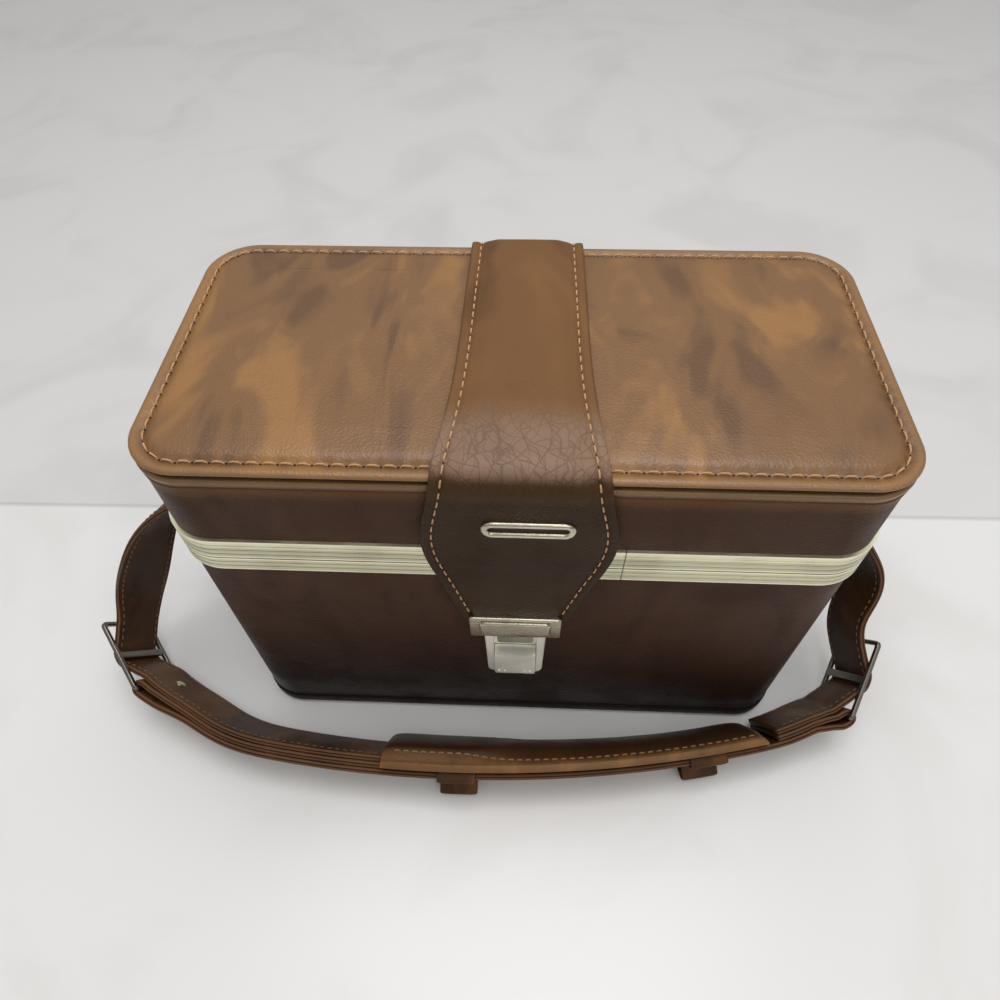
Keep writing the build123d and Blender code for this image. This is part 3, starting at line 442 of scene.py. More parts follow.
def strip_profile(width: float, thickness: float, rounding: float = 0.9, crown: float = 0.0) -> Array:
    """Closed section of a flat strip of leather: across and depth, going round once.

    The ends are half rounds squeezed to the rounding, and both faces may be crowned by
    crown * (1 - (2 across / width)^2).

    Args:
        width: Width of the strip.
        thickness: Thickness at its edges.
        rounding: How far the rounded edges reach in.
        crown: How much thicker each face is in the middle.

    Returns:
        Points of the section, as across and depth, both from the middle.
    """
    across = np.concatenate(([-1.0, -0.97, -0.93], np.linspace(-0.88, 0.88, 15), [0.93, 0.97, 1.0]))
    across = across * (width / 2 - rounding)
    face = thickness / 2 + crown * (1 - (2 * across / width) ** 2)
    turn = np.linspace(-np.pi / 2, np.pi / 2, 9)[1:-1]
    edge = np.column_stack((width / 2 - rounding + rounding * np.cos(turn), thickness / 2 * np.sin(turn)))
    half = np.concatenate((np.column_stack((across, -face)), edge))
    return np.concatenate((half, -half))


def ribbon(line: Array, across: Array, normal: Array, profile: Array) -> Shape:
    """A strip carried along a line: point = line + across * a + normal * d for each (a, d) of the section.

    Args:
        line: Middle of the strip at each step.
        across: Unit direction across it at each step.
        normal: Unit direction through it at each step.
        profile: Section as across and depth, the same at each step or one per step.

    Returns:
        The closed strip, marked with its place across and through, each from -1 to 1.
    """
    section = profile if profile.ndim == 3 else np.broadcast_to(profile, (len(line), *profile.shape))
    sections = line[:, None] + across[:, None] * section[..., :1] + normal[:, None] * section[..., 1:]
    reach = np.abs(section[..., 0]).max()
    depth = np.abs(section[..., 1]).max()
    return Shape.swept(sections, {"across": section[..., 0] / reach, "through": section[..., 1] / depth})


@dataclass(frozen=True)
class Stitching:
    """A row of thread stitches, each a bowed rod whose ends dive into the leather."""

    pitch: float = 7.0
    length: float = 5.2
    radius: float = 0.55
    lift: float = 0.35
    hole: float = 0.75

    def places(self, line: Array, normal: Array) -> tuple[Array, Array, Array]:
        """Middle, forward direction and normal of each stitch along a line.

        Args:
            line: Points of the seam.
            normal: Unit normal of the leather at each point.

        Returns:
            Three arrays, one row per stitch.
        """
        length = run_lengths(line)
        count = max(2, int(length[-1] / self.pitch))
        wanted = (np.arange(count) + 0.5) * length[-1] / count

        def sample(values: Array, at: Array) -> Array:
            """Values of the seam read at distances along it."""
            return np.stack([np.interp(at, length, column) for column in values.T], axis=1)

        ahead = unit(sample(line, wanted + self.length * 0.5) - sample(line, wanted - self.length * 0.5))
        return sample(line, wanted), ahead, squared(sample(normal, wanted), ahead)

    @staticmethod
    def repeated(places: tuple, forward: Array, raised: Array, beside: Array) -> Shape:
        """One small closed form at every place: middle + ahead * forward + up * raised + sideways * beside.

        Args:
            places: Middles, forward directions and normals.
            forward: Forward distance at each row and column of the form's grid.
            raised: Distance along the normal.
            beside: Distance sideways.

        Returns:
            All the forms as one shape.
        """
        middle, ahead, up = (rows[:, None, None] for rows in places)
        rows, around = forward.shape
        points = middle + ahead * forward[..., None] + up * raised[..., None] + np.cross(up, ahead) * beside[..., None]
        shift = (np.arange(len(middle)) * rows * around)[:, None, None]
        faces = (grid_faces(rows, around, closed_columns=True)[None] + shift).reshape(-1, 4).tolist()
        ends = np.stack((np.arange(around)[::-1], np.arange((rows - 1) * around, rows * around)))
        faces += (ends[None] + shift).reshape(-1, around).tolist()
        return Shape(points.reshape(-1, 3), faces, {})

    def threads(self, line: Array, normal: Array) -> Shape:
        """The visible stitches of a seam along a line with the leather's normals.

        Each is a six-sided rod: along t from -1 to 1 its height is lift * (1 - t^4) - t^8 / 2 and its
        radius is radius * (1 - 0.55 t^6).
        """
        t = np.linspace(-1, 1, 7)[:, None]
        angle = np.linspace(0, 2 * np.pi, 7)[:-1][None, :]
        radius = self.radius * (1 - 0.55 * t**6)
        raised = self.lift * (1 - t**4) - 0.5 * t**8 + radius * np.sin(angle)
        forward = np.broadcast_to(t * self.length / 2, raised.shape)
        return self.repeated(self.places(line, normal), forward, raised, radius * np.cos(angle))

    def holes(self, line: Array, normal: Array) -> Shape:
        """Flat dark ovals of painted shade in the needle holes where the thread goes through, one midway between
        stitches, as low domes.

        Each has an outer ring just under the leather and an inner one just above it. It reaches 1.25 times
        the hole's radius along the seam and 0.85 times across it.
        """
        middle, ahead, up = self.places(line, normal)
        angle = np.linspace(0, 2 * np.pi, 9)[:-1]
        reach = np.array((1.0, 0.6))[:, None] * self.hole
        forward = reach * 1.25 * np.cos(angle)
        raised = np.broadcast_to(np.array((-0.25, 0.12))[:, None], forward.shape)
        midway = middle + ahead * self.pitch / 2
        return self.repeated((midway, ahead, up), forward, raised, reach * 0.85 * np.sin(angle))


class Wiring:
    """Adds nodes to a shader tree and joins their sockets."""

    def __init__(self, tree: bpy.types.NodeTree) -> None:
        """Work on one tree."""
        self.tree = tree

    def feed(self, made: bpy.types.Node, values: dict) -> bpy.types.Node:
        """Give a node's inputs, by name or number, their constants or sockets."""
        for key, value in values.items():
            if isinstance(value, Socket):
                self.tree.links.new(value, made.inputs[key])
            else:
                made.inputs[key].default_value = value
        return made

    def node(self, kind: str, values: Optional[dict] = None, **settings: object) -> bpy.types.Node:
        """Add a node.

        Args:
            kind: The node's type name without its "ShaderNode" start.
            values: Constants or sockets for its inputs, by name or number.
            settings: Properties of the node itself.

        Returns:
            The new node.
        """
        made = self.tree.nodes.new("ShaderNode" + kind)
        for key, value in settings.items():
            setattr(made, key, value)
        return self.feed(made, values or {})

    def maths(self, operation: str, first: object, second: object = 0.0) -> Socket:
        """Result of a Math node on two sockets or numbers."""
        return self.node("Math", {0: first, 1: second}, operation=operation).outputs[0]

    def times(self, first: object, second: object) -> Socket:
        """Product of two sockets or numbers."""
        return self.maths("MULTIPLY", first, second)

    def away(self, value: Socket, middle: float) -> Socket:
        """Distance of a value from a middle one."""
        return self.maths("ABSOLUTE", self.maths("SUBTRACT", value, middle))

    def spread(self, value: object, low: float, high: float, to_low: float = 0.0, to_high: float = 1.0) -> Socket:
        """Value mapped smoothly from low..high to to_low..to_high."""
        limits = {"From Min": low, "From Max": high, "To Min": to_low, "To Max": to_high}
        return self.node("MapRange", {"Value": value, **limits}, interpolation_type="SMOOTHSTEP").outputs[0]

    def blend(self, share: object, first: object, second: object, mode: str = "MIX") -> Socket:
        """Colour mixed from first to second by share."""
        return self.node("Mix", {0: share, 6: first, 7: second}, data_type="RGBA", blend_type=mode).outputs[2]

    def scaled(self, vector: Socket, scale: Colour, turn: float = 0.0) -> Socket:
        """Coordinates multiplied by a scale and turned about z."""
        return self.node("Mapping", {"Vector": vector, "Scale": scale, "Rotation": (0.0, 0.0, turn)}).outputs[0]

    def noise(self, vector: Socket, scale: object, detail: float = 2.0, **more: float) -> Socket:
        """Value of a noise, with any other inputs of it by name."""
        return self.node("TexNoise", {"Vector": vector, "Scale": scale, "Detail": detail, **more}).outputs["Fac"]

    def warped(self, vector: Socket, scale: float, reach: float) -> Socket:
        """Coordinates moved by a noise, up to a reach in metres."""
        warp = self.node("TexNoise", {"Vector": vector, "Scale": scale, "Detail": 2.0})
        moved = self.node("VectorMath", {0: warp.outputs["Color"], 1: (reach, reach, reach)}, operation="MULTIPLY")
        return self.node("VectorMath", {0: vector, 1: moved.outputs[0]}, operation="ADD").outputs[0]

    def borders(self, vector: Socket, scale: object, width: float) -> Socket:
        """Lines between random cells: one on a border and zero beyond its width."""
        cells = self.node("TexVoronoi", {"Vector": vector, "Scale": scale}, feature="DISTANCE_TO_EDGE")
        return self.spread(cells.outputs["Distance"], 0.0, width, 1.0, 0.0)

    def mark(self, name: str) -> Socket:
        """A value that the mesh carries at each point."""
        return self.node("Attribute", attribute_name=name).outputs["Fac"]

    def relief(self, height: Socket, strength: float, distance: float) -> Socket:
        """Normal of a bumpy surface."""
        return self.node("Bump", {"Height": height, "Strength": strength, "Distance": distance}).outputs[0]


class Bench(Wiring):
    """A new material in the making: its wiring, its object coordinates and its colour so far."""

    def __init__(self, name: str, first: Optional[Shade] = None) -> None:
        """Make the material, with its first colour where that is a constant."""
        self.material = bpy.data.materials.new(name)
        self.material.use_nodes = True
        self.material.node_tree.nodes.clear()
        super().__init__(self.material.node_tree)
        self.vector = self.node("TexCoord").outputs["Object"]
        self.colour = srgb(*first) if first else None

    def place(self) -> Sequence[Socket]:
        """The coordinates one by one, in metres."""
        return self.node("SeparateXYZ", {0: self.vector}).outputs

    def use(self, tree: bpy.types.NodeTree, **values: object) -> Sequence[Socket]:
        """What a shared node group gives at the coordinates."""
        return self.node("Group", {"Vector": self.vector, **values}, node_tree=tree).outputs

    def tint(self, share: Socket, shade: Shade) -> None:
        """Mix a display colour into the colour so far."""
        self.colour = self.blend(share, self.colour, srgb(*shade))

    def finish(self, roughness: object, **more: object) -> bpy.types.Material:
        """The material, its output fed by one shader with the colour, this roughness and any other inputs."""
        values = {key.replace("_", " "): value for key, value in more.items()}
        shader = self.node("BsdfPrincipled", {"Base Color": self.colour, "Roughness": roughness, **values})
        self.node("OutputMaterial", {0: shader.outputs[0]})
        return self.material


class Effects:
    """Shader node groups that several finishes share, each built once."""

    def __init__(self) -> None:
        """Build all the groups."""
        self.grain = self.leather_grain()
        self.marbling = self.leather_marbling()
        self.dust = self.surface_wear()

    @staticmethod
    def group(name: str, inputs: Sequence[tuple], outputs: Sequence[tuple]) -> tuple:
        """Start a group with named sockets.

        Args:
            name: The group's name.
            inputs: Name and socket kind of each input, and its default where it has one.
            outputs: Name and socket kind of each output.

        Returns:
            Its wiring, the sockets that come in, and its output node.
        """
        tree = bpy.data.node_groups.new(name, "ShaderNodeTree")
        for way, entries in (("INPUT", inputs), ("OUTPUT", outputs)):
            for label, kind, *default in entries:
                made = tree.interface.new_socket(label, in_out=way, socket_type="NodeSocket" + kind)
                if default:
                    made.default_value = default[0]
        start = tree.nodes.new("NodeGroupInput")
        return Wiring(tree), start.outputs, tree.nodes.new("NodeGroupOutput")

    def leather_grain(self) -> bpy.types.NodeTree:
        """Pebbled grain with fine creases: cell distances, a little noise and warped cell borders."""
        sizes = (("Pebble", "Float", 900.0), ("Crease", "Float", 110.0), ("Crease Depth", "Float", 0.5))
        w, given, end = self.group(
            "leather_grain", (("Vector", "Vector"), *sizes), (("Height", "Float"), ("Creases", "Float"))
        )
        place = w.warped(given["Vector"], 60.0, 0.006)
        pebble = w.node("TexVoronoi", {"Vector": place, "Scale": given["Pebble"]}, feature="SMOOTH_F1")
        fine = w.noise(place, 2200.0)
        line = w.borders(place, given["Crease"], 0.05)
        where = w.spread(w.noise(given["Vector"], 28.0, 1.0), 0.5, 0.68)
        creases = w.times(line, where)
        low = w.times(creases, given["Crease Depth"])
        rough = w.times(fine, 0.35)
        height = w.maths("SUBTRACT", w.maths("ADD", pebble.outputs["Distance"], rough), low)
        w.feed(end, {"Height": height, "Creases": creases})
        return w.tree

    def leather_marbling(self) -> bpy.types.NodeTree:
        """Hand-rubbed colour: soft drawn-out patches of a light, a middle and a dark tone."""
        tones = ("Light", "Middle", "Dark")
        w, given, end = self.group(
            "leather_marbling",
            (("Vector", "Vector"), *((tone, "Color") for tone in tones), ("Strength", "Float", 1.0)),
            (("Color", "Color"),),
        )
        light, middle, dark = (given[tone] for tone in tones)
        strength = given["Strength"]
        broad = w.noise(w.scaled(given["Vector"], (26.0, 10.0, 10.0), 0.12), 1.0, 2.5, Roughness=0.45, Distortion=1.6)
        small = w.noise(w.scaled(given["Vector"], (55.0, 24.0, 30.0), -0.3), 1.0, 3.0, Roughness=0.5, Distortion=0.8)
        lighter = w.times(w.spread(broad, 0.5, 0.66), strength)
        darker = w.times(w.spread(broad, 0.46, 0.32), strength)
        rubbed = w.blend(darker, w.blend(lighter, middle, light), dark)
        cloud = w.times(w.spread(small, 0.55, 0.75), w.times(strength, 0.35))
        w.feed(end, {"Color": w.blend(cloud, rubbed, light)})
        return w.tree

    def surface_wear(self) -> bpy.types.NodeTree:
        """Rubbed and dull places as a mask: broad noise broken up by fine noise."""
        inputs = (("Vector", "Vector"), ("Size", "Float", 40.0))
        w, given, end = self.group("surface_wear", inputs, (("Mask", "Float"),))
        broad = w.noise(given["Vector"], given["Size"], 4.0)
        fine = w.times(w.noise(given["Vector"], 900.0), 0.25)
        w.feed(end, {"Mask": w.spread(w.maths("ADD", broad, fine), 0.5, 0.85)})
        return w.tree


class Zone(Enum):
    """The parts of the case whose leather has details of its own."""

    WALL = "wall"
    TOP = "top"
    FLAP = "flap"
    STRAP = "strap"
    PAD = "pad"


@dataclass(frozen=True)
class LeatherFinish:
    """Grained leather in three rubbed tones, with creases and a soft shine."""

    name: str
    light: Shade
    middle: Shade
    dark: Shade
    zone: Zone
    marble: float = 1.0
    roughness: float = 0.42
    pebble: float = 1000.0
    crease: float = 130.0
    crease_depth: float = 0.5
    bump: float = 0.35
    coat: float = 0.12
    gloss: float = 0.4

    def build(self, effects: Effects) -> bpy.types.Material:
        """Make the material.

        Args:
            effects: The shared node groups.

        Returns:
            The new material.
        """
        w = Bench(self.name)
        grain = w.use(effects.grain, Pebble=self.pebble, Crease=self.crease, **{"Crease Depth": self.crease_depth})
        light, middle, dark = (srgb(*shade) for shade in (self.light, self.middle, self.dark))
        w.colour = w.use(effects.marbling, Light=light, Middle=middle, Dark=dark, Strength=self.marble)["Color"]
        w.tint(w.times(grain["Creases"], 0.12), self.dark)
        height = self.zone_details(w, grain["Height"])
        wear = w.use(effects.dust)["Mask"]
        rough = w.spread(wear, 0.0, 1.0, self.roughness - 0.05, self.roughness + 0.1)
        return w.finish(
            rough, Normal=w.relief(height, self.bump, 0.0006), Coat_Weight=self.coat, Coat_Roughness=0.3,
            Specular_IOR_Level=self.gloss,
        )

    def zone_details(self, w: Bench, height: Socket) -> Socket:
        """Add the colour and relief of one zone of the case, painted shade and sheen among them.

        Args:
            w: The material in the making.
            height: Relief so far.

        Returns:
            The relief.
        """
        place = w.place()
        if self.zone is Zone.WALL:
            # Darker towards the bottom: partly the leather's own darker lower tone, partly painted shade under the
            # lid's overhang and the strap.
            w.tint(w.spread(place["Z"], 0.14, 0.015, 0.0, 0.9), (20, 10, 6))
            w.tint(w.spread(place["Z"], 0.2, 0.2095, 0.0, 0.6), (112, 74, 40))
            return height
        if self.zone is Zone.TOP:
            self.top_edge(w, place["Z"])
            return height
        across = w.maths("ABSOLUTE", w.mark("across"))
        if self.zone is Zone.PAD:
            # Painted shade on the pad's face between its rounded rims, which keep the lighter tone where they catch the
            # light.
            w.tint(w.spread(across, 0.93, 0.7, 0.0, 0.85), (52, 30, 16))
            return height
        edge = w.spread(across, 0.955, 0.985)
        if self.zone is Zone.STRAP:
            through = w.maths("ABSOLUTE", w.mark("through"))
            band = w.blend(w.spread(through, 0.12, 0.3), srgb(22, 12, 8), srgb(104, 72, 48))
            w.colour = w.blend(w.times(edge, 0.8), w.colour, band)
            return height
        w.tint(w.times(edge, 0.5), self.dark)
        return self.bent(w, place, height)

    @staticmethod
    def top_edge(w: Bench, level: Socket) -> None:
        """Colour the rolled edge of the top: a rubbed rim, a darker lower lip and a groove painted in shade.

        Args:
            w: The material in the making.
            level: Height, in metres.
        """
        inset = w.mark("inset")
        w.tint(w.spread(inset, 4.0, 1.0, 0.0, 0.7), (138, 102, 62))
        lip = w.times(w.spread(level, 0.2136, 0.2094, 0.25, 1.0), w.maths("LESS_THAN", level, 0.214))
        w.tint(lip, (82, 56, 36))
        # Painted shade in the groove, darkest where it is deepest.
        groove = w.times(w.spread(w.away(level, 0.2152), 0.0016, 0.0009), w.spread(inset, -0.2, 0.8))
        w.tint(w.times(groove, w.maths("LESS_THAN", inset, 3.0)), (24, 14, 8))

    def bent(self, w: Bench, place: Sequence[Socket], height: Socket) -> Socket:
        """Add the flap's wrinkled bend with a painted sheen, painted shade on the front over and below the edge, and a
        darker middle.

        Args:
            w: The material in the making.
            place: Its coordinates one by one.
            height: Relief so far.

        Returns:
            The relief.
        """
        bend = w.mark("bend")
        cracks = self.cross_creases(w)
        height = w.maths("SUBTRACT", height, w.times(cracks, w.times(bend, 0.8)))
        # Painted sheen along the crest of the bend.
        w.tint(w.times(bend, 0.55), (146, 124, 108))
        w.tint(w.times(w.times(cracks, bend), 0.38), self.dark)
        front = w.maths("LESS_THAN", place["Y"], -0.06)
        # Painted shade on the front over the edge and below it, where the flap turns down away from the light overhead.
        w.tint(w.times(w.spread(place["Z"], 0.2243, 0.2195, 0.0, 0.92), front), (58, 36, 8))
        w.tint(w.times(w.spread(place["Z"], 0.2145, 0.209, 0.0, 0.9), front), (50, 33, 12))
        w.tint(w.times(w.spread(w.away(place["Z"], 0.168), 0.028, 0.0, 0.0, 0.6), front), (46, 24, 4))
        return height

    @staticmethod
    def cross_creases(w: Bench) -> Socket:
        """Crossing wrinkles where leather is bent to and fro, as a mask."""
        lines = []
        for turn, scale in ((0.75, 150.0), (-0.7, 170.0), (0.1, 230.0)):
            place = w.warped(w.scaled(w.vector, (1.0, 1.0, 1.0), turn), 55.0, 0.012)
            lines.append(w.borders(w.scaled(place, (1.0, 0.28, 0.28)), scale, 0.035))
        return w.maths("MAXIMUM", w.maths("MAXIMUM", lines[0], lines[1]), lines[2])


@dataclass(frozen=True)
class MetalFinish:
    """Plated or drawn metal with fine scratches along one axis."""

    name: str
    colour: Shade
    tarnish: Shade
    roughness: float = 0.22
    brush: Colour = (300.0, 300.0, 2500.0)
    # Heights and greys that paint highlights and shade lines, if any.
    light_and_shade_bands: tuple = ()
    joint: float = 0.0
    dulling: float = 0.2
    bump: float = 0.06

    def build(self, effects: Effects) -> bpy.types.Material:
        """Make the material: drawn lines in the colour and relief, dull places in the roughness.

        Args:
            effects: The shared node groups.

        Returns:
            The new material.
        """
        w = Bench(self.name, self.colour)
        brushed = w.noise(w.scaled(w.vector, self.brush), 1.0, 3.0)
        wear = w.use(effects.dust)["Mask"]
        w.tint(w.times(wear, self.dulling), self.tarnish)
        if self.light_and_shade_bands:
            self.add_light_bands_and_joint(w)
        w.tint(w.spread(brushed, 0.45, 0.75, 0.0, self.dulling), self.tarnish)
        rough = w.spread(wear, 0.0, 1.0, self.roughness, self.roughness + 0.15)
        return w.finish(rough, Metallic=1.0, Normal=w.relief(brushed, self.bump, 0.0003))

    def add_light_bands_and_joint(self, w: Bench) -> None:
        """Multiply the colour by the grey of each height of the rim, which paints its highlights and shade lines, and
        darken its joint in front.
        """
        place = w.place()
        low, high = self.light_and_shade_bands[0][0], self.light_and_shade_bands[-1][0]
        share = w.node("MapRange", {"Value": place["Z"], "From Min": low * MM, "From Max": high * MM}).outputs[0]
        ramped = w.node("ValToRGB", {0: share})
        stops = ramped.color_ramp.elements
        for index, (level, grey) in enumerate(self.light_and_shade_bands):
            at = (level - low) / (high - low)
            stop = stops[index] if index < 2 else stops.new(at)
            stop.position, stop.color = at, srgb(grey, grey, max(grey - 8, 0))
        w.colour = w.blend(1.0, w.colour, ramped.outputs[0], "MULTIPLY")
        crack = w.spread(w.away(place["X"], self.joint * MM), 0.0004, 0.0001)
        w.tint(w.times(w.times(crack, w.maths("LESS_THAN", place["Y"], 0.0)), 0.8), (70, 66, 50))


@dataclass(frozen=True)
class ThreadFinish:
    """Twisted sewing thread."""

    name: str
    colour: Shade
    shade: Shade

    def build(self) -> bpy.types.Material:
        """Make the material: slanting plies in colour and relief."""
        w = Bench(self.name, self.colour)
        place = w.place()
        slant = w.maths("ADD", place["X"], w.maths("ADD", place["Y"], place["Z"]))
        ply = w.maths("SINE", w.times(slant, 7000.0))
        stain = w.noise(w.vector, 90.0)
        w.tint(w.spread(ply, -1.0, 1.0, 0.45, 0.0), self.shade)
        w.tint(w.spread(stain, 0.5, 0.8, 0.0, 0.5), self.shade)
        return w.finish(0.7, Normal=w.relief(ply, 0.4, 0.0002), Sheen_Weight=0.3)


@dataclass(frozen=True)
class ClothFinish:
    """Plain woven or napped lining cloth."""

    name: str
    colour: Shade
    shade: Shade
    threads: float = 5200.0
    sheen: float = 0.5

    def build(self) -> bpy.types.Material:
        """Make the material: a weave of crossing waves with a soft nap over it."""
        w = Bench(self.name, self.colour)
        place = w.place()
        upright = w.maths("ADD", place["Y"], place["Z"])
        warp = w.maths("SINE", w.times(place["X"], self.threads))
        weft = w.maths("SINE", w.times(upright, self.threads))
        weave = w.times(warp, weft)
        nap = w.noise(w.vector, 70.0, 5.0)
        w.tint(w.spread(weave, -1.0, 1.0, 0.5, 0.0), self.shade)
        w.tint(w.spread(nap, 0.4, 0.7, 0.0, 0.45), self.shade)
        return w.finish(0.85, Normal=w.relief(w.maths("ADD", weave, nap), 0.3, 0.0004), Sheen_Weight=self.sheen)


@dataclass(frozen=True)
class FloorFinish:
    """Pale polished stone: a near slab, and a greyer one from the seam behind the case."""

    name: str
    near: Shade
    near_vein: Shade
    far: Shade
    far_vein: Shade
    seam: float = 0.0755
    slant: float = 0.0128
    roughness: float = 0.28

    def build(self) -> bpy.types.Material:
        """Make the material: soft cloudy veins on both sides of the seam, and a thin dark line along it."""
        w = Bench(self.name)
        veined = w.spread(w.noise(w.vector, 7.0, 5.0, Distortion=1.0), 0.45, 0.7, 0.0, 0.7)
        place = w.place()
        line = w.maths("SUBTRACT", place["Y"], w.times(place["X"], self.slant))
        beyond = w.spread(line, self.seam - 0.0006, self.seam + 0.0006)
        slabs = ((self.near, self.near_vein), (self.far, self.far_vein))
        w.colour = w.blend(beyond, *(w.blend(veined, srgb(*stone), srgb(*vein)) for stone, vein in slabs))
        w.tint(w.spread(w.away(line, self.seam), 0.003, 0.0, 0.0, 0.35), (150, 148, 146))
        return w.finish(self.roughness)


RIM_LIGHT_AND_SHADE_BANDS = (
    (153.4, 252), (154.3, 252), (154.7, 205), (157.2, 214), (157.4, 172), (157.7, 216), (161.2, 210), (161.5, 255),
    (162.2, 255), (162.4, 50), (162.85, 50), (163.05, 255), (163.7, 248), (164.0, 196), (165.5, 206), (165.7, 166),
    (166.0, 208), (167.5, 206), (167.7, 166), (168.0, 208), (169.6, 206), (169.8, 160), (170.1, 232), (173.6, 236),
    (174.0, 255), (175.0, 255),
)
# Height on the rim in millimetres, and the display level of the slightly warm grey there: the bright levels are painted
# highlights, the dark ones painted shade in the rim's fine lines and in the split between lid and base.
"""Height on the rim in millimetres, and the display level of its slightly warm grey there."""


class Palette:
    """All the finishes of the case, made once."""

    def __init__(self) -> None:
        """Build the shared groups and every material."""
        effects = Effects()
        self.top = LeatherFinish(
            "top_leather", (150, 107, 58), (120, 85, 49), (92, 64, 38), Zone.TOP,
            marble=0.8, roughness=0.4, crease_depth=0.08, coat=0.15, gloss=0.45,
        ).build(effects)
        self.wall = LeatherFinish(
            "wall_leather", (80, 55, 40), (70, 48, 36), (54, 36, 27), Zone.WALL,
            marble=0.5, crease_depth=0.1, coat=0.0, gloss=0.07,
        ).build(effects)
        self.flap = LeatherFinish(
            "flap_leather", (128, 92, 54), (113, 80, 49), (78, 53, 34), Zone.FLAP,
            marble=0.55, roughness=0.4, crease_depth=0.1, coat=0.04, gloss=0.12,
        ).build(effects)
        self.strap = LeatherFinish(
            "strap_leather", (98, 64, 34), (68, 44, 25), (40, 25, 14), Zone.STRAP,
            marble=0.8, roughness=0.45, crease_depth=0.2, coat=0.0, gloss=0.15,
        ).build(effects)
        self.pad = LeatherFinish(
            "pad_leather", (138, 98, 56), (112, 78, 44), (74, 48, 26), Zone.PAD,
            marble=0.6, roughness=0.45, crease_depth=0.1, gloss=0.25,
        ).build(effects)
        self.rim = MetalFinish(
            "rim_metal", (252, 249, 226), (206, 201, 170), 0.34, brush=(12.0, 12.0, 2600.0), light_and_shade_bands=RIM_LIGHT_AND_SHADE_BANDS, joint=44.5
        ).build(effects)
        self.nickel, self.satin_nickel, self.shaded_nickel, self.dark_steel = (
            MetalFinish(name, colour, tarnish, roughness, dulling=dulling).build(effects)
            for name, colour, tarnish, roughness, dulling in (
                ("polished_nickel", (206, 200, 180), (140, 132, 112), 0.16, 0.45),
                ("satin_nickel", (250, 247, 238), (216, 210, 194), 0.5, 0.2),
                ("shaded_nickel", (112, 114, 100), (70, 72, 60), 0.12, 0.2),
                ("dark_plated_steel", (128, 122, 112), (62, 57, 50), 0.3, 0.2),
            )
        )
        self.thread = ThreadFinish("tan_thread", (205, 158, 108), (160, 112, 70)).build()
        self.pad_thread = ThreadFinish("tan_pad_thread", (150, 112, 70), (112, 78, 46)).build()
        self.dark_thread = ThreadFinish("brown_thread", (120, 84, 56), (70, 46, 30)).build()
        # Painted shade, for the needle holes and the inside of the flap's slot.
        self.hole = ClothFinish("needle_hole", (58, 37, 22), (44, 28, 17), sheen=0.0).build()
        self.lining = ClothFinish("red_brown_lining", (120, 50, 40), (84, 32, 26)).build()
        self.board = ClothFinish("case_board", (158, 138, 112), (122, 104, 82), sheen=0.0).build()
        self.floor = FloorFinish(
            "pale_stone", (228, 227, 225), (219, 217, 213), (214, 213, 211), (203, 201, 198)
        ).build()


class Outfitter:
    """Gives finished pieces their material and body, and hides the solids they stand for."""

    def __init__(self, palette: Palette) -> None:
        """Keep the palette and count the pieces."""
        self.palette = palette
        self.made: list[str] = []

    def dress(
        self, piece: bpy.types.Object, material: bpy.types.Material, body: Body, stands_for: Iterable[str] = (),
        slot: str = "", fill: Optional[float] = None, bends: bool = False,
    ) -> None:
        """Finish one piece.

        Args:
            piece: The object.
            material: Its finish.
            body: The body it rides on.
            stands_for: The solids it replaces.
            slot: The record's material slot; not used.
            fill: How full a padded piece is, or None; not used.
            bends: Whether it spans the lid and the hanging flap; such a piece has its transform baked into its mesh and
                rides on no body.
        """
        piece.data.materials.clear()
        piece.data.materials.append(material)
        if bends:
            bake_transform(piece)
        else:
            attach(piece, body.value)
        if stands_for:
            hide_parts(*stands_for)
        self.report(piece)

    def dress_all(self, body: Body, rows: Iterable[tuple]) -> None:
        """Finish several pieces on one body.

        Args:
            body: The body they ride on.
            rows: Shape, name, finish, solids it replaces, material slot and, where it is padded, its fill.
        """
        for shape, name, material, stands_for, slot, *fill in rows:
            self.dress(shape.piece(name), material, body, stands_for, slot, *fill)

    def report(self, piece: bpy.types.Object) -> None:
        """Log a piece and its size."""
        self.made.append(piece.name)
        LOG.info("%s: %d points", piece.name, len(piece.data.vertices))


def soft_ring(low: float, high: float, outer: float, inner: float, rounding: float = 0.4) -> Array:
    """Closed profile of a flat band standing on edge: inset and height, with rounded corners.

    Args:
        low: Lower height.
        high: Upper height.
        outer: Inset of the outer face.
        inner: Inset of the inner face.
        rounding: Radius of its corners.

    Returns:
        Points of the profile.
    """
    turn = np.linspace(0, np.pi / 2, 4)
    pieces = []
    for quarter, (x, z) in enumerate(((outer, low), (inner, low), (inner, high), (outer, high))):
        centre = np.array((x + (rounding if x == outer else -rounding), z + (rounding if z == low else -rounding)))
        angle = (quarter / 2 + 1) % 2 * np.pi + turn
        pieces.append(centre + rounding * np.column_stack((np.cos(angle), np.sin(angle))))
    face = np.column_stack((np.full(9, outer), np.linspace(high - rounding, low + rounding, 9)))
    return np.concatenate((*pieces, face[1:-1]))


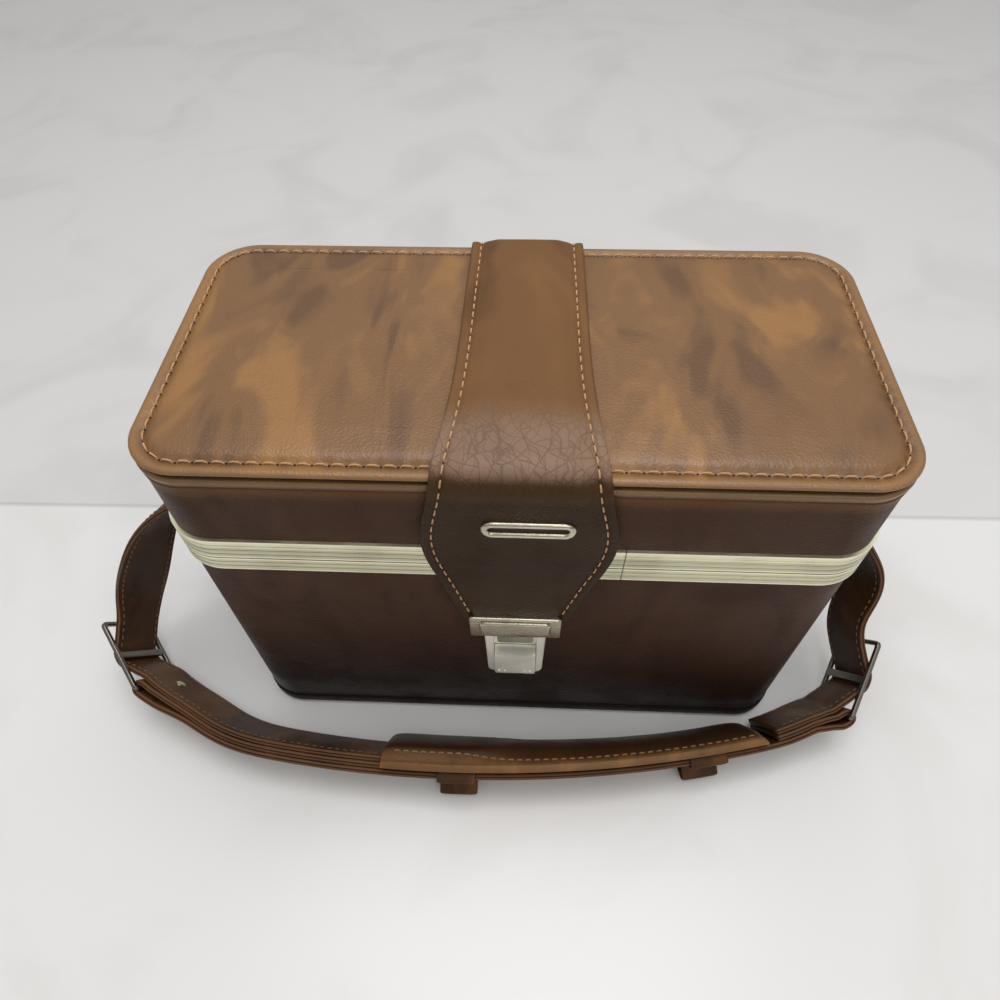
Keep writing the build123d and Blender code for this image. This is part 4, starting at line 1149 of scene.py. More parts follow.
@dataclass
class Base:
    """The base: leather walls, the band round its foot, and the soft lining inside."""

    wall_low: float = 11.0
    wall_high: float = 161.0
    cover: float = 1.2
    foot_out: float = 0.6
    foot_roll: float = 5.0
    foot_height: float = 11.0
    lining_outer: float = 4.2
    lining_inner: float = 5.7
    lining_floor: float = 5.2
    lining_top: float = 150.0
    floor_pad_low: float = 6.7
    floor_pad_high: float = 14.7
    divider_place: float = 59.0
    divider_half: float = 3.0
    divider_top: float = 140.5

    def build(self, outfitter: Outfitter) -> None:
        """Make and dress all the soft pieces of the base."""
        look = outfitter.palette
        plan = Plan()
        wall = plan.band_shape(soft_ring(self.wall_low, self.wall_high, 0.0, self.cover))
        cushion = self.cushion(plan, self.lining_inner, self.floor_pad_low, self.floor_pad_high, 3)
        sides = zip(Side, both("divider"), both("divider_cushion"))
        outfitter.dress_all(
            Body.BASE,
            (
                (wall, "base_wall_leather", look.wall, ["base_cover"], "case_leather"),
                (self.foot(plan), "base_foot_band", look.wall, ["base_tray"], "case_leather"),
                (self.lining(plan), "base_inner_lining", look.lining, ["base_lining"], "lining"),
                (cushion, "base_floor_cushion", look.lining, ["floor_foam"], "foam", 0.7),
                *((self.divider(side), name, look.lining, [solid], "foam", 0.8) for side, solid, name in sides),
            ),
        )

    def foot(self, plan: Plan) -> Shape:
        """The tray of leather that wraps the lower edge, closed underneath.

        Its section runs up the outside with a quarter round below and back down the inside.
        """
        turn = np.linspace(0, np.pi / 2, 7)
        roll = self.foot_roll
        out = -self.foot_out
        inner = roll - self.cover
        outside = np.stack((out + roll - roll * np.sin(turn), roll - roll * np.cos(turn)), axis=1)
        lip = np.array(((out, self.foot_height - 0.5), (out + 0.25, self.foot_height), (self.cover, self.foot_height)))
        inside = np.stack(
            (self.cover + inner - inner * np.cos(turn), self.cover + inner - inner * np.sin(turn)), axis=1
        )
        return plan.bowl(np.concatenate((((BOTTOM_INSET, 0.0),), outside, lip, inside, ((BOTTOM_INSET, self.cover),))))

    def lining(self, plan: Plan) -> Shape:
        """The cloth box inside the walls: up the outside, over its edge and down to its floor."""
        low, high, outer, inner = self.lining_floor, self.lining_top, self.lining_outer, self.lining_inner
        profile = (
            (BOTTOM_INSET, low), (outer, low), (outer, high), (inner, high), (inner, low + 4.5),
            (inner + 1.0, low + 2.2), (inner + 3.0, low + 1.5), (BOTTOM_INSET, low + 1.5),
        )
        return plan.bowl(np.array(profile))

    @staticmethod
    def cushion(plan: Plan, inset: float, low: float, high: float, seed: int) -> Shape:
        """A flat cushion that fills the plan: its rim is a half round and its top a low crown.

        Args:
            plan: The outline it fills.
            inset: Distance from the outline to its side.
            low: Height of its underside.
            high: Height of its crown.
            seed: Number that fixes its unevenness.

        Returns:
            The closed cushion.
        """
        crown = 1.6
        half = (high - crown - low) / 2
        turn = np.linspace(-np.pi / 2, np.pi / 2, 11)
        rim = np.stack((inset + 0.3 + half * (1 - np.cos(turn)), low + half + half * np.sin(turn)), axis=1)
        rise = np.linspace(0, 1, 6)[1:, None]
        last = np.array((plan.corner, high - crown))
        return plan.block(np.concatenate((rim, rim[-1] * (1 - rise) + last * rise)), high - crown, crown, seed)

    def divider(self, side: Side) -> Shape:
        """A padded wall across the base, thicker in the middle than at its rounded edges.

        Half thickness is t * (0.8 + 0.2 * (1 - v^4) * (1 - w^4)) with v along it and w up it.
        """
        steps = 61
        low = self.floor_pad_high - 1.0
        deep = Plan.half_depth - self.lining_inner - 0.3
        v, height = np.meshgrid(np.linspace(-1, 1, steps), np.linspace(-1, 1, steps), indexing="ij")
        half = self.divider_half * np.sqrt(np.clip(1 - v**16, 0, 1)) * np.sqrt(np.clip(1 - height**24, 0, 1))
        half = half * (0.8 + 0.2 * (1 - v**4) * (1 - height**4))
        z = low + (height + 1) / 2 * (self.divider_top - low)
        centre = side.value * self.divider_place
        walls = [np.stack((x, v * deep, z), axis=-1).reshape(-1, 3) for x in (centre - half, centre + half)]
        faces = grid_faces(steps, steps)
        return Shape(np.concatenate(walls), faces.tolist() + (faces[:, ::-1] + steps * steps).tolist(), {})


@dataclass
class Lid:
    """The lid: leather walls, welt, the rolled and padded top with its stitching, and the lining."""

    wall_low: float = 164.2
    board_top: float = 210.0
    cover: float = 1.2
    stitch_inset: float = 4.9
    stitch_pitch: float = 6.4
    roll_top: float = 219.0
    valley: float = 217.9
    crown_edge: float = 220.3
    crown_top: float = 221.4
    lining_outer: float = 4.2
    lining_inner: float = 5.7
    lining_low: float = 167.2
    lining_roof: float = 205.5
    foam_depth: float = 6.0

    def build(self, outfitter: Outfitter) -> None:
        """Make and dress all the soft pieces of the lid."""
        look = outfitter.palette
        plan = Plan()
        fine = Plan(long_steps=420, short_steps=180, corner_steps=44)
        wall = plan.band_shape(soft_ring(self.wall_low, self.board_top, 0.0, self.cover))
        cushion = Base.cushion(plan, self.lining_inner, 0.0, self.foam_depth, 5)
        cushion.points[:, 2] = self.lining_roof - cushion.points[:, 2]
        outfitter.dress_all(
            Body.LID,
            (
                (wall, "lid_wall_leather", look.wall, ["lid_cover"], "case_leather"),
                (self.welt(plan), "lid_welt_leather", look.wall, ["lid_welt"], "case_leather"),
                (self.top(fine), "lid_top_leather", look.top, ["lid_top", "lid_roll"], "case_leather", 0.7),
                (self.lining(plan), "lid_inner_lining", look.lining, ["lid_lining"], "lining"),
                (cushion, "lid_inner_cushion", look.lining, ["lid_foam"], "foam", 0.7),
            ),
        )
        line, normal = self.seam(fine)
        seam = Stitching(pitch=self.stitch_pitch, length=5.0, radius=0.4, lift=0.85, hole=0.5)
        outfitter.dress(seam.threads(line, normal).piece("lid_stitches", weld=False), look.thread, Body.LID)
        outfitter.dress(seam.holes(line, normal).piece("lid_needle_holes", weld=False), look.hole, Body.LID)
    def welt(self, plan: Plan) -> Shape:
        """The soft lower bead, full at its top and tapering down into the wall."""
        outside = smooth_through(
            ((0.0, 203.4), (-0.15, 205.4), (-0.35, 207.4), (-0.5, 208.6), (-0.45, 209.4), (0.0, 209.7)), 22
        )
        return plan.band_shape(np.concatenate((outside, ((0.6, 209.6), (0.6, 203.5)))))

    def top(self, plan: Plan) -> Shape:
        """The rolled edge and padded top as one skin.

        A lower lip stands out above the wall, a dark groove follows, and a thin bead rolls out over it.
        From the bead the leather dips to the seam and rises again to the crown. Between stitches the skin
        puckers: height changes by 0.22 mm * cos(2 pi s / pitch) near the seam.
        """
        seam, valley, roof = self.stitch_inset, self.valley, self.crown_top - 0.3
        groove_top = 216.5
        profile = smooth_through(
            (
                (1.2, 209.2), (0.1, 209.3), (-0.5, 210.6), (-0.9, 212.4), (-0.6, 213.5), (0.3, 213.9), (1.8, 214.2),
                (2.3, 215.1), (1.7, 216.0), (0.3, 216.3), (-0.7, 216.9), (-0.8, 218.0), (0.0, 218.8),
                (1.6, self.roll_top), (3.2, self.roll_top - 0.5), (seam, valley), (seam + 2.2, valley + 1.2),
                (seam + 6.0, self.crown_edge), (seam + 11.0, self.crown_top - 0.7), (plan.corner, roof),
            ),
            84,
        )
        profile[-1] = plan.corner, roof
        inset, height = profile.T
        shape = plan.block(profile, roof, crown=0.3, seed=11)
        around = 2 * (plan.long_steps + plan.short_steps) + 4 * plan.corner_steps
        rings = shape.points[: len(profile) * around].reshape(len(profile), around, 3)
        outline = rings[np.argmin(np.abs(inset - seam) + (height < groove_top) * 9)]
        length = run_lengths(np.vstack((outline, outline[:1])))
        phase = 2 * np.pi * length[:-1] / (length[-1] / round(length[-1] / self.stitch_pitch))
        near = np.exp(-(((inset - seam - 0.4) / 1.9) ** 2)) * (height > groove_top)
        rings[..., 2] += -0.22 * near[:, None] * np.cos(phase)[None, :]
        waves = ripple(rings[..., 0], rings[..., 1], 23, 26.0)
        rings[..., 2] += 0.12 * ramp(inset, seam + 1, seam + 8)[:, None] * waves
        return shape

    def seam(self, plan: Plan) -> tuple[Array, Array]:
        """The stitched line round the top and its normals."""
        outline = plan.ring(np.array((self.stitch_inset,)))[0]
        outline = np.vstack((outline, outline[:1]))
        line = np.column_stack((outline, np.full(len(outline), self.valley + 0.25)))
        return line, np.broadcast_to(UP, line.shape)

    def lining(self, plan: Plan) -> Shape:
        """The cloth box inside the lid, open downwards."""
        outer, inner, roof = self.lining_outer, self.lining_inner, self.lining_roof
        profile = (
            (BOTTOM_INSET, roof + 1.5), (outer, roof + 1.5), (outer, self.lining_low), (inner, self.lining_low),
            (inner, roof - 4.0), (inner + 1.0, roof - 1.2), (inner + 3.0, roof), (BOTTOM_INSET, roof),
        )
        return plan.bowl(np.array(profile))


@dataclass
class Flap:
    """The leather flap from the rear of the lid over the top and down to the lock."""

    centre: float = 0.8
    end_centre: float = -0.5
    thickness: float = 3.2
    rear_line: float = 74.5
    front_line: float = -75.0
    top_line: float = 222.6
    tail_bottom: float = 184.2
    hinge: float = 208.0
    end: float = 108.2
    bend: float = 9.6
    stitch_inset: float = 4.6
    stitch_pitch: float = 5.4

    def path(self) -> Array:
        """The flap's middle line in the y-z plane: three straight runs with rounded bends."""
        corners = (
            (self.rear_line, self.tail_bottom), (self.rear_line, self.top_line), (self.front_line, self.top_line),
            (self.front_line, self.end),
        )
        return rounded_runs(corners, self.bend, 1.6)

    def half_width(self, path: Array) -> Array:
        """Half width along the path: narrow behind, widest a little below the front bend, narrow at the lock."""
        length = run_lengths(path)
        start = length[np.argmin(np.abs(path[:, 0] - self.front_line) + np.abs(path[:, 1] - self.hinge))]
        past_bend = (
            (-130, 26.7), (-85, 27.3), (-50, 28.9), (-22, 32.0), (0, 35.6), (12, 38.3), (24, 39.5), (36, 38.2),
            (52, 33.8), (76, 27.2),
        )
        middle = ((start + past, half) for past, half in past_bend)
        knots = np.array(((0.0, 26.6), (60.0, 26.6), *middle, (length[-1], 20.8)))
        curve = smooth_through(knots, 600)
        return np.interp(length, curve[:, 0], curve[:, 1])

    def build(self, outfitter: Outfitter) -> None:
        """Make and dress the flap, its seams and the sheet of painted shade in its slot."""
        look = outfitter.palette
        path = self.path()
        half = self.half_width(path)
        skin = self.skin(path, half).piece("flap_outer_leather")
        outfitter.dress(skin, look.flap, Body.FLAP, ["flap_band", "flap_leather"], "flap_leather", 0.5, bends=True)
        seam = Stitching(pitch=self.stitch_pitch, length=3.9, radius=0.38, lift=0.4, hole=0.42)
        lines = [self.seam(path, half, side) for side in Side]
        threads, holes = (Shape.merged([make(*line) for line in lines]) for make in (seam.threads, seam.holes))
        outfitter.dress(threads.piece("flap_stitches", weld=False), look.thread, Body.FLAP, bends=True)
        outfitter.dress(holes.piece("flap_needle_holes", weld=False), look.hole, Body.FLAP, bends=True)
        # A dark sheet in the slot, painted shade where the slot's inside lies in shadow.
        outfitter.dress(self.slot_shade_sheet().piece("slot_painted_shade"), look.hole, Body.FLAP)

    def frames(self, path: Array) -> tuple[Array, Array, Array]:
        """Middle points, outward normals and distances along the path."""
        length = run_lengths(path)
        tangent = unit(np.gradient(path, axis=0))
        normal = np.stack((np.zeros(len(path)), tangent[:, 1], -tangent[:, 0]), axis=1)
        shift = self.centre + (self.end_centre - self.centre) * ramp(length, length[-1] - 95, length[-1])
        return np.column_stack((shift, path)), normal, length

    def relief(self, across: Array, length: Array) -> Array:
        """Height of the outer face above the middle line.

        From each edge inwards: a rounded raised border, a dip at the seam and the padded crown, which is
        full over the top and thin at the slot plate and the lock.

        Args:
            across: Distance from the edge, in millimetres, per step and place.
            length: Distance along the path, per step.

        Returns:
            The height per step and place.
        """
        remaining = length[-1] - length
        full = 0.35 + 1.0 * ramp(remaining, 92, 118)
        inset = self.stitch_inset
        border = 1.15 * np.sqrt(np.clip(1 - ((across - inset * 0.45) / (inset * 0.62)) ** 2, 0, 1))
        pad = ramp(across, inset, inset + 9.0) * full[:, None]
        dip = -0.55 * np.exp(-(((across - inset) / 0.9) ** 2))
        base = self.thickness / 2 - 0.55 * (1 - ramp(across, inset - 1.5, inset + 3.0))
        return base + np.where(across < inset, border * 0.55, 0.0) + pad + dip

    def skin(self, path: Array, half: Array) -> Shape:
        """The whole flap: a strip with a flat back and a relief on its face.

        Args:
            path: Middle line in the y-z plane.
            half: Half width along it.

        Returns:
            The closed skin, marked with its place across and through and where it bends.
        """
        line, normal, length = self.frames(path)
        share = np.sin(np.linspace(-np.pi / 2, np.pi / 2, 75))
        share = np.sign(share) * np.abs(share) ** 0.9
        offset = share[None, :] * (half[:, None] - 0.5)
        from_edge = half[:, None] - np.abs(offset)
        near = np.exp(-(((from_edge - self.stitch_inset) / 1.6) ** 2))
        puckers = 0.12 * near * np.cos(2 * np.pi * length / self.stitch_pitch)[:, None]
        face = self.relief(from_edge, length) - puckers
        waves = ripple(offset, length[:, None], 31, 34.0)
        face = face + 0.12 * waves * ramp(from_edge, self.stitch_inset, self.stitch_inset + 8)
        turn = np.linspace(np.pi / 2, -np.pi / 2, 7)[1:-1]
        rim_height = face[:, -1:]
        middle = (rim_height - self.thickness / 2) / 2
        reach = (rim_height + self.thickness / 2) / 2
        right = np.stack((half[:, None] - 0.5 + 0.5 * np.cos(turn), middle + reach * np.sin(turn)), axis=-1)
        back_across = offset[:, ::-1][:, ::3]
        back = np.stack((back_across, np.full_like(back_across, -self.thickness / 2)), axis=-1)
        left = right[:, ::-1] * np.array((-1.0, 1.0))
        outer = np.stack((offset, face), axis=-1)
        section = np.concatenate((outer, right, back, left), axis=1)
        across = np.broadcast_to(np.array((1.0, 0.0, 0.0)), line.shape)
        shape = ribbon(line, across, normal, section)
        remaining = length[-1] - length
        bend = ramp(remaining, 78, 96) * (1 - ramp(remaining, 128, 150))
        shape.marks["across"] = (section[..., 0] / half[:, None]).reshape(-1)
        shape.marks["bend"] = np.broadcast_to(bend[:, None], section.shape[:2]).reshape(-1)
        return shape

    def seam(self, path: Array, half: Array, side: Side) -> tuple[Array, Array]:
        """The stitched line along one edge of the flap and its normals."""
        line, normal, length = self.frames(path)
        keep = length < length[-1] - 17
        at = np.full((len(line), 1), self.stitch_inset)
        height = self.relief(at, length)[:, 0] + 0.15
        offset = side.value * (half - self.stitch_inset)
        points = line + np.outer(offset, (1.0, 0.0, 0.0)) + normal * height[:, None]
        return points[keep], normal[keep]

    @staticmethod
    def slot_shade_sheet() -> Shape:
        """A dark oblong of painted shade inside the slot plate: straight sides drawn out by a half round at each end.
        """
        centre, level, straight, radius = 4.3, 195.2, 13.8, 1.75
        angle = np.linspace(0, 2 * np.pi, 33)[:-1]
        x = centre + np.sign(np.cos(angle)) * straight + radius * np.cos(angle)
        z = level + radius * np.sin(angle)
        return Shape.swept(np.stack([np.column_stack((x, np.full(32, y), z)) for y in (-77.0, -77.6)]))


@dataclass(frozen=True)
class StrapLay:
    """How the strap lies: its leaning section, the curves of its front part and its two straight ends."""

    width: float = 32.0
    thickness: float = 3.2
    lean: float = 32.0
    lift: float = 2.3
    gap: float = 0.3
    front_x: float = -35.0
    front_y: float = 576.5
    front_radius: float = 683.0
    front_left: float = 8.6
    front_right: float = 14.5
    bend_radius: float = 90.0
    wire: float = 2.6
    bar_clearance: float = 0.4
    thread_clearance: float = 0.25
    pitch: float = 22.0
    spread: float = 0.75

    @property
    def fold(self) -> float:
        """Inner radius of the fold round a buckle bar."""
        return self.wire / 2 + self.bar_clearance

    @property
    def back_depth(self) -> float:
        """Depth of the main strap's returning layer where it lies flat."""
        return self.thickness * 1.5 + self.gap

    @property
    def tail_depth(self) -> float:
        """Depth of the end strap's tail where it lies flat."""
        return 2.5 * self.thickness + 2 * self.gap

    @property
    def tail_reach(self) -> float:
        """Distance of the end strap's tail from the lower bar."""
        return self.fold + self.thickness * 1.5 + self.thread_clearance

    def circle(self, heading: Array) -> tuple[Array, Array]:
        """Radius and centre of the curve at each heading: the long front arc or the tighter bend past its end."""
        limit = np.clip(heading, -self.front_left, self.front_right)
        past = heading != limit
        radius = np.where(past, self.bend_radius, self.front_radius)
        angle = np.radians(limit)
        reach = np.where(past, self.front_radius - self.bend_radius, 0.0)
        return radius, np.stack((self.front_x + reach * np.sin(angle), self.front_y - reach * np.cos(angle)), axis=-1)

    def lying(self, heading: Array, across: Array | float, inward: Array | float) -> Array:
        """Points of the leaning section at headings along the front.

        outwards = across * sin(lean) - inward * cos(lean) and height = lift + across * cos(lean) +
        inward * sin(lean). The point is centre + (radius + outwards) * (sin, -cos) of its heading.

        Args:
            heading: Direction of the path in degrees from +X.
            across: Distance up the leaning width.
            inward: Distance from the outer face towards the case.

        Returns:
            The points, one for each place in the arrays taken together.
        """
        heading, across, inward = np.broadcast_arrays(heading, across, inward)
        radius, centre = self.circle(heading)
        lean = np.radians(self.lean)
        outwards = across * np.sin(lean) - inward * np.cos(lean)
        height = self.lift + across * np.cos(lean) + inward * np.sin(lean)
        angle = np.radians(heading)
        flat = centre + (radius + outwards)[..., None] * np.stack((np.sin(angle), -np.cos(angle)), axis=-1)
        return np.concatenate((flat, height[..., None]), axis=-1)

    def leaning(self, heading: Array) -> tuple[Array, Array]:
        """Directions across the strap and inwards from it at each heading."""
        angle = np.radians(np.atleast_1d(heading))
        lean = np.radians(self.lean)
        outward = np.stack((np.sin(angle), -np.cos(angle), np.zeros_like(angle)), axis=1)
        return outward * np.sin(lean) + UP * np.cos(lean), -outward * np.cos(lean) + UP * np.sin(lean)


@dataclass(frozen=True)
class StrapEnd:
    """One end of the front strap: a straight run, the buckle frame, and the end strap above it."""

    lay: StrapLay
    side: Side
    heading: float
    run: float
    rise: float
    bar_inward: float
    turn: float
    tail: float
    ring: tuple
    hang: tuple
    twist: tuple

    def axes(self) -> tuple[Array, Array, Array, Array]:
        """Origin of the end's own frame and its directions along, inwards and across."""
        angle, rise, lean = np.radians((self.heading, self.rise, self.lay.lean))
        level = self.side.value * np.array((np.cos(angle), np.sin(angle), 0.0))
        outward = np.array((np.sin(angle), -np.cos(angle), 0.0))
        along = level * np.cos(rise) + UP * np.sin(rise)
        upward = UP * np.cos(rise) - level * np.sin(rise)
        inward = -outward * np.cos(lean) + upward * np.sin(lean)
        across = outward * np.sin(lean) + upward * np.cos(lean)
        return self.lay.lying(self.heading, 0.0, 0.0) + along * self.run, along, inward, across

    def in_ring(self, along: float, inward: float) -> Array:
        """Local point at a distance along the buckle from its lower bar, and one inwards of it."""
        cosine, sine = np.cos(np.radians(self.turn)), np.sin(np.radians(self.turn))
        return np.array((along * cosine - inward * sine, self.bar_inward + along * sine + inward * cosine))

    def world(self, local: Array, across: float) -> Array:
        """Points of the end's frame, as along and inward, at a distance across, in the case's frame."""
        origin, along, inward, wide = self.axes()
        local = np.atleast_2d(local)
        return origin + local[:, :1] * along + local[:, 1:] * inward + wide * across

    def layer(self, near: float, flat: float) -> Array:
        """Middle line of a layer on the straight run, easing from flat at the bend to near at the bar."""
        along = np.linspace(-self.run - 1.0, 0.0, 28)
        share = ramp(along, -self.run * (self.lay.spread + 0.15), -self.run * 0.2)
        return np.column_stack((along, flat + (near - flat) * share))

    def folded(self) -> Array:
        """The main strap round the lower bar, from the outer layer over the fold to the returning one.

        The fold is a half circle about the bar with the radius of the fold plus half a thickness.
        """
        lay = self.lay
        radius = lay.fold + lay.thickness / 2
        outer = self.layer(self.bar_inward - radius, lay.thickness / 2)
        back = self.layer(self.bar_inward + radius, lay.back_depth)
        turn = np.linspace(-np.pi / 2, np.pi / 2, 13)[1:-1]
        bow = np.stack((radius * np.cos(turn), self.bar_inward + radius * np.sin(turn)), axis=1)
        return np.concatenate((outer, bow, back[::-1]))

    def tail_line(self) -> Array:
        """Middle line of the end strap through the buckle and down to the strap's curve."""
        lay = self.lay
        passing = lay.wire / 2 + lay.thickness / 2 + lay.thread_clearance
        thread = (
            self.in_ring(2 * lay.pitch - 1.0, passing + 7.0),
            self.in_ring(lay.pitch + 4.0, -passing - 0.4),
            self.in_ring(lay.pitch - 4.0, -passing - 0.4),
            self.in_ring(3.0, lay.tail_reach + 0.8),
        )
        inner = self.layer(self.bar_inward + lay.tail_reach, lay.tail_depth)[::-1]
        inner = inner[inner[:, 0] < -0.25 * self.run]
        return np.concatenate((rounded_runs(np.concatenate((thread, inner[:1])), 5.0, 1.5), inner[1:]))


@dataclass
class Strap:
    """The shoulder strap: main strap, two end straps, their stitching and a snap stud on the left end."""

    lay: StrapLay
    ends: tuple

    def build(self, outfitter: Outfitter) -> None:
        """Make and dress every leather strap."""
        look = outfitter.palette
        leather = [(self.main(), "strap_main_leather", look.strap, ["main_strap"], "strap_leather")]
        names = zip(self.ends, both("strap_end_leather"), both("end_strap"), both("strap_end_stitches"))
        for end, name, solid, seam_name in names:
            shape, *way = self.end_strap(end)
            leather.append((shape, name, look.strap, [solid], "strap_leather"))
            outfitter.dress(self.edge_seams(*way).piece(seam_name, weld=False), look.dark_thread, Body.STRAP)
        outfitter.dress_all(Body.STRAP, leather)
        stud = self.stud(self.ends[0]).piece("snap_stud_left")
        outfitter.dress(stud, look.nickel, Body.STRAP, slot="nickel_plate")

    def arcs(self, start: float, finish: float, inward: float) -> Array:
        """Middle line of a layer along the front between two headings."""
        steps = max(4, int(abs(finish - start) * 2.2))
        heading = np.linspace(start, finish, steps)
        return self.lay.lying(heading, self.lay.width / 2, inward)

    def main(self) -> Shape:
        """The main strap as one strip: a returning tail, the left fold, the outer layer, the right fold, a tail."""
        lay = self.lay
        left, right = self.ends
        middle = lay.width / 2
        line = np.concatenate(
            (
                self.arcs(left.tail, left.heading, lay.back_depth)[:-1],
                left.world(left.folded()[::-1], middle),
                self.arcs(left.heading, right.heading, lay.thickness / 2)[1:-1],
                right.world(right.folded(), middle),
                self.arcs(right.heading, right.tail, lay.back_depth)[1:],
            )
        )
        bars = np.concatenate([end.world(end.in_ring(0.0, 0.0), middle) for end in (left, right)])
        line = calmed(eased(spaced(line, 1.4), 2), 50, bars, 9.0)
        headings = np.linspace(left.heading - 1e-3, right.heading + 1e-3, 400)
        return self.strip(line, self.widths(line, headings, self.ends))[0]

    def widths(self, line: Array, headings: Array, ends: Iterable[StrapEnd]) -> Array:
        """Direction across the strap along a line: that of the nearest heading, or of the end past it.

        Args:
            line: Middle line.
            headings: Headings of the curve to choose from.
            ends: The ends whose frames apply.

        Returns:
            One direction per point.
        """
        guide = self.lay.lying(headings, self.lay.width / 2, 0.0)
        nearest = np.argmin(np.linalg.norm(line[:, None, :2] - guide[None, :, :2], axis=2), axis=1)
        wide = self.lay.leaning(headings[nearest])[0]
        for end in ends:
            origin, along, _, across = end.axes()
            share = ramp((line - (origin - along * end.run)) @ along, -2.0, 6.0)[:, None]
            wide = wide * (1 - share) + across * share
        return wide

    def strip(self, line: Array, wide: Array) -> tuple[Shape, Array, Array]:
        """A flat strip along a line.

        Args:
            line: Middle line.
            wide: Direction across it, which is squared to the line here.

        Returns:
            The strip, and its directions across and through.
        """
        tangent = unit(np.gradient(line, axis=0))
        wide = squared(wide, tangent)
        normal = np.cross(tangent, wide)
        profile = strip_profile(self.lay.width, self.lay.thickness, 0.9, 0.1)
        return ribbon(line, wide, normal, profile), wide, normal

    def end_strap(self, end: StrapEnd) -> tuple[Shape, Array, Array, Array]:
        """An end strap: round the ring's bar, down beside the case, through the buckle and along the strap.

        Its width turns from level at the ring to the buckle's lean by the smooth step of its length, and
        leans away by twist * sin(pi * share) between them. Each point of the hanging part is a share of
        the straight line from ring to buckle, moved out, back and up.

        Args:
            end: The end it belongs to.

        Returns:
            The strip, its middle line and its directions across and through.
        """
        lay = self.lay
        side = end.side.value
        middle = lay.width / 2
        threaded = end.world(end.tail_line(), middle)
        bar = np.array(end.ring)
        radius = 2.4 + lay.thickness / 2
        start = bar + UP * radius
        toward = unit(threaded[3] - threaded[0])
        reach = threaded[0] - start
        through = [start + reach * part + np.array((side * out, back, rise)) for part, out, back, rise in end.hang]
        hanging = smooth_through([start, *through, threaded[0]], 110, (side, 0.0, 0.0), toward)
        turn = np.linspace(1.75 * np.pi, 0.5 * np.pi, 26)[:-1]
        eye = bar + radius * np.stack((side * np.cos(turn) * 0.999, 0 * turn, np.sin(turn)), axis=1)
        tail = self.arcs(end.heading, end.tail, lay.tail_depth)[1:]
        line = np.concatenate((eye, hanging[:-1], threaded, tail))
        length = run_lengths(line)
        eye_end = length[len(eye)]
        hang_end = length[len(eye) + len(hanging) - 1]
        bars = [end.world(end.in_ring(place, 0.0), middle) for place in (0.0, lay.pitch)]
        held = np.concatenate((*bars, bar[None]))
        line = calmed(eased(spaced(line, 1.5), 2), 60, held, 10.0)
        length = run_lengths(line)
        share = ramp(length, eye_end, hang_end)[:, None]
        headings = np.linspace(min(end.heading, end.tail), max(end.heading, end.tail), 200)
        wide = self.widths(line, headings, (end,))
        reach = np.clip((length - eye_end) / (hang_end - eye_end), 0, 1)[:, None]
        lean_away = np.array((side * end.twist[0], *end.twist[1:])) * np.sin(np.pi * reach)
        wide = np.array((0.0, -1.0, 0.0)) * (1 - share) + wide * share + lean_away
        shape, wide, normal = self.strip(line, wide)
        return shape, line, wide, normal

    def edge_seams(self, line: Array, across: Array, normal: Array) -> Shape:
        """Small stitches along both edges of a strap, on both faces."""
        seam = Stitching(pitch=4.2, length=3.0, radius=0.32, lift=0.16)
        keep = slice(22, len(line) - 3)
        rows = []
        for edge, face in ((-1, -1), (-1, 1), (1, -1), (1, 1)):
            offset = across * edge * (self.lay.width / 2 - 3.0) + normal * face * (self.lay.thickness / 2 + 0.05)
            rows.append(seam.threads((line + offset)[keep], (normal * face)[keep]))
        return Shape.merged(rows)

    def stud(self, end: StrapEnd) -> Shape:
        """A domed snap cap on the tail's inner face, a little beyond the buckle.

        Its height is 1.1 * sqrt(1 - r^4) with r from 0 at its middle to 1 at its rim.
        """
        lay = self.lay
        radius, domed = 3.2, 1.1
        origin, along, inward, across = end.axes()
        tail = end.layer(end.bar_inward + lay.tail_reach, lay.tail_depth)
        at = tail[np.argmin(np.abs(tail[:, 0] + 0.3 * end.run))]
        middle = origin + along * at[0] + inward * (at[1] + lay.thickness / 2 + 0.05) + across * lay.width / 2
        r = np.linspace(0, 1, 9)[:, None]
        angle = np.linspace(0, 2 * np.pi, 25)[:-1][None, :]
        height = np.broadcast_to(domed * np.sqrt(np.clip(1 - r**4, 0, 1)), (9, 24))
        parts = ((along, radius * r * np.cos(angle)), (across, radius * r * np.sin(angle)), (inward, height))
        return Shape.swept((middle + sum(direction * reach[..., None] for direction, reach in parts))[::-1])


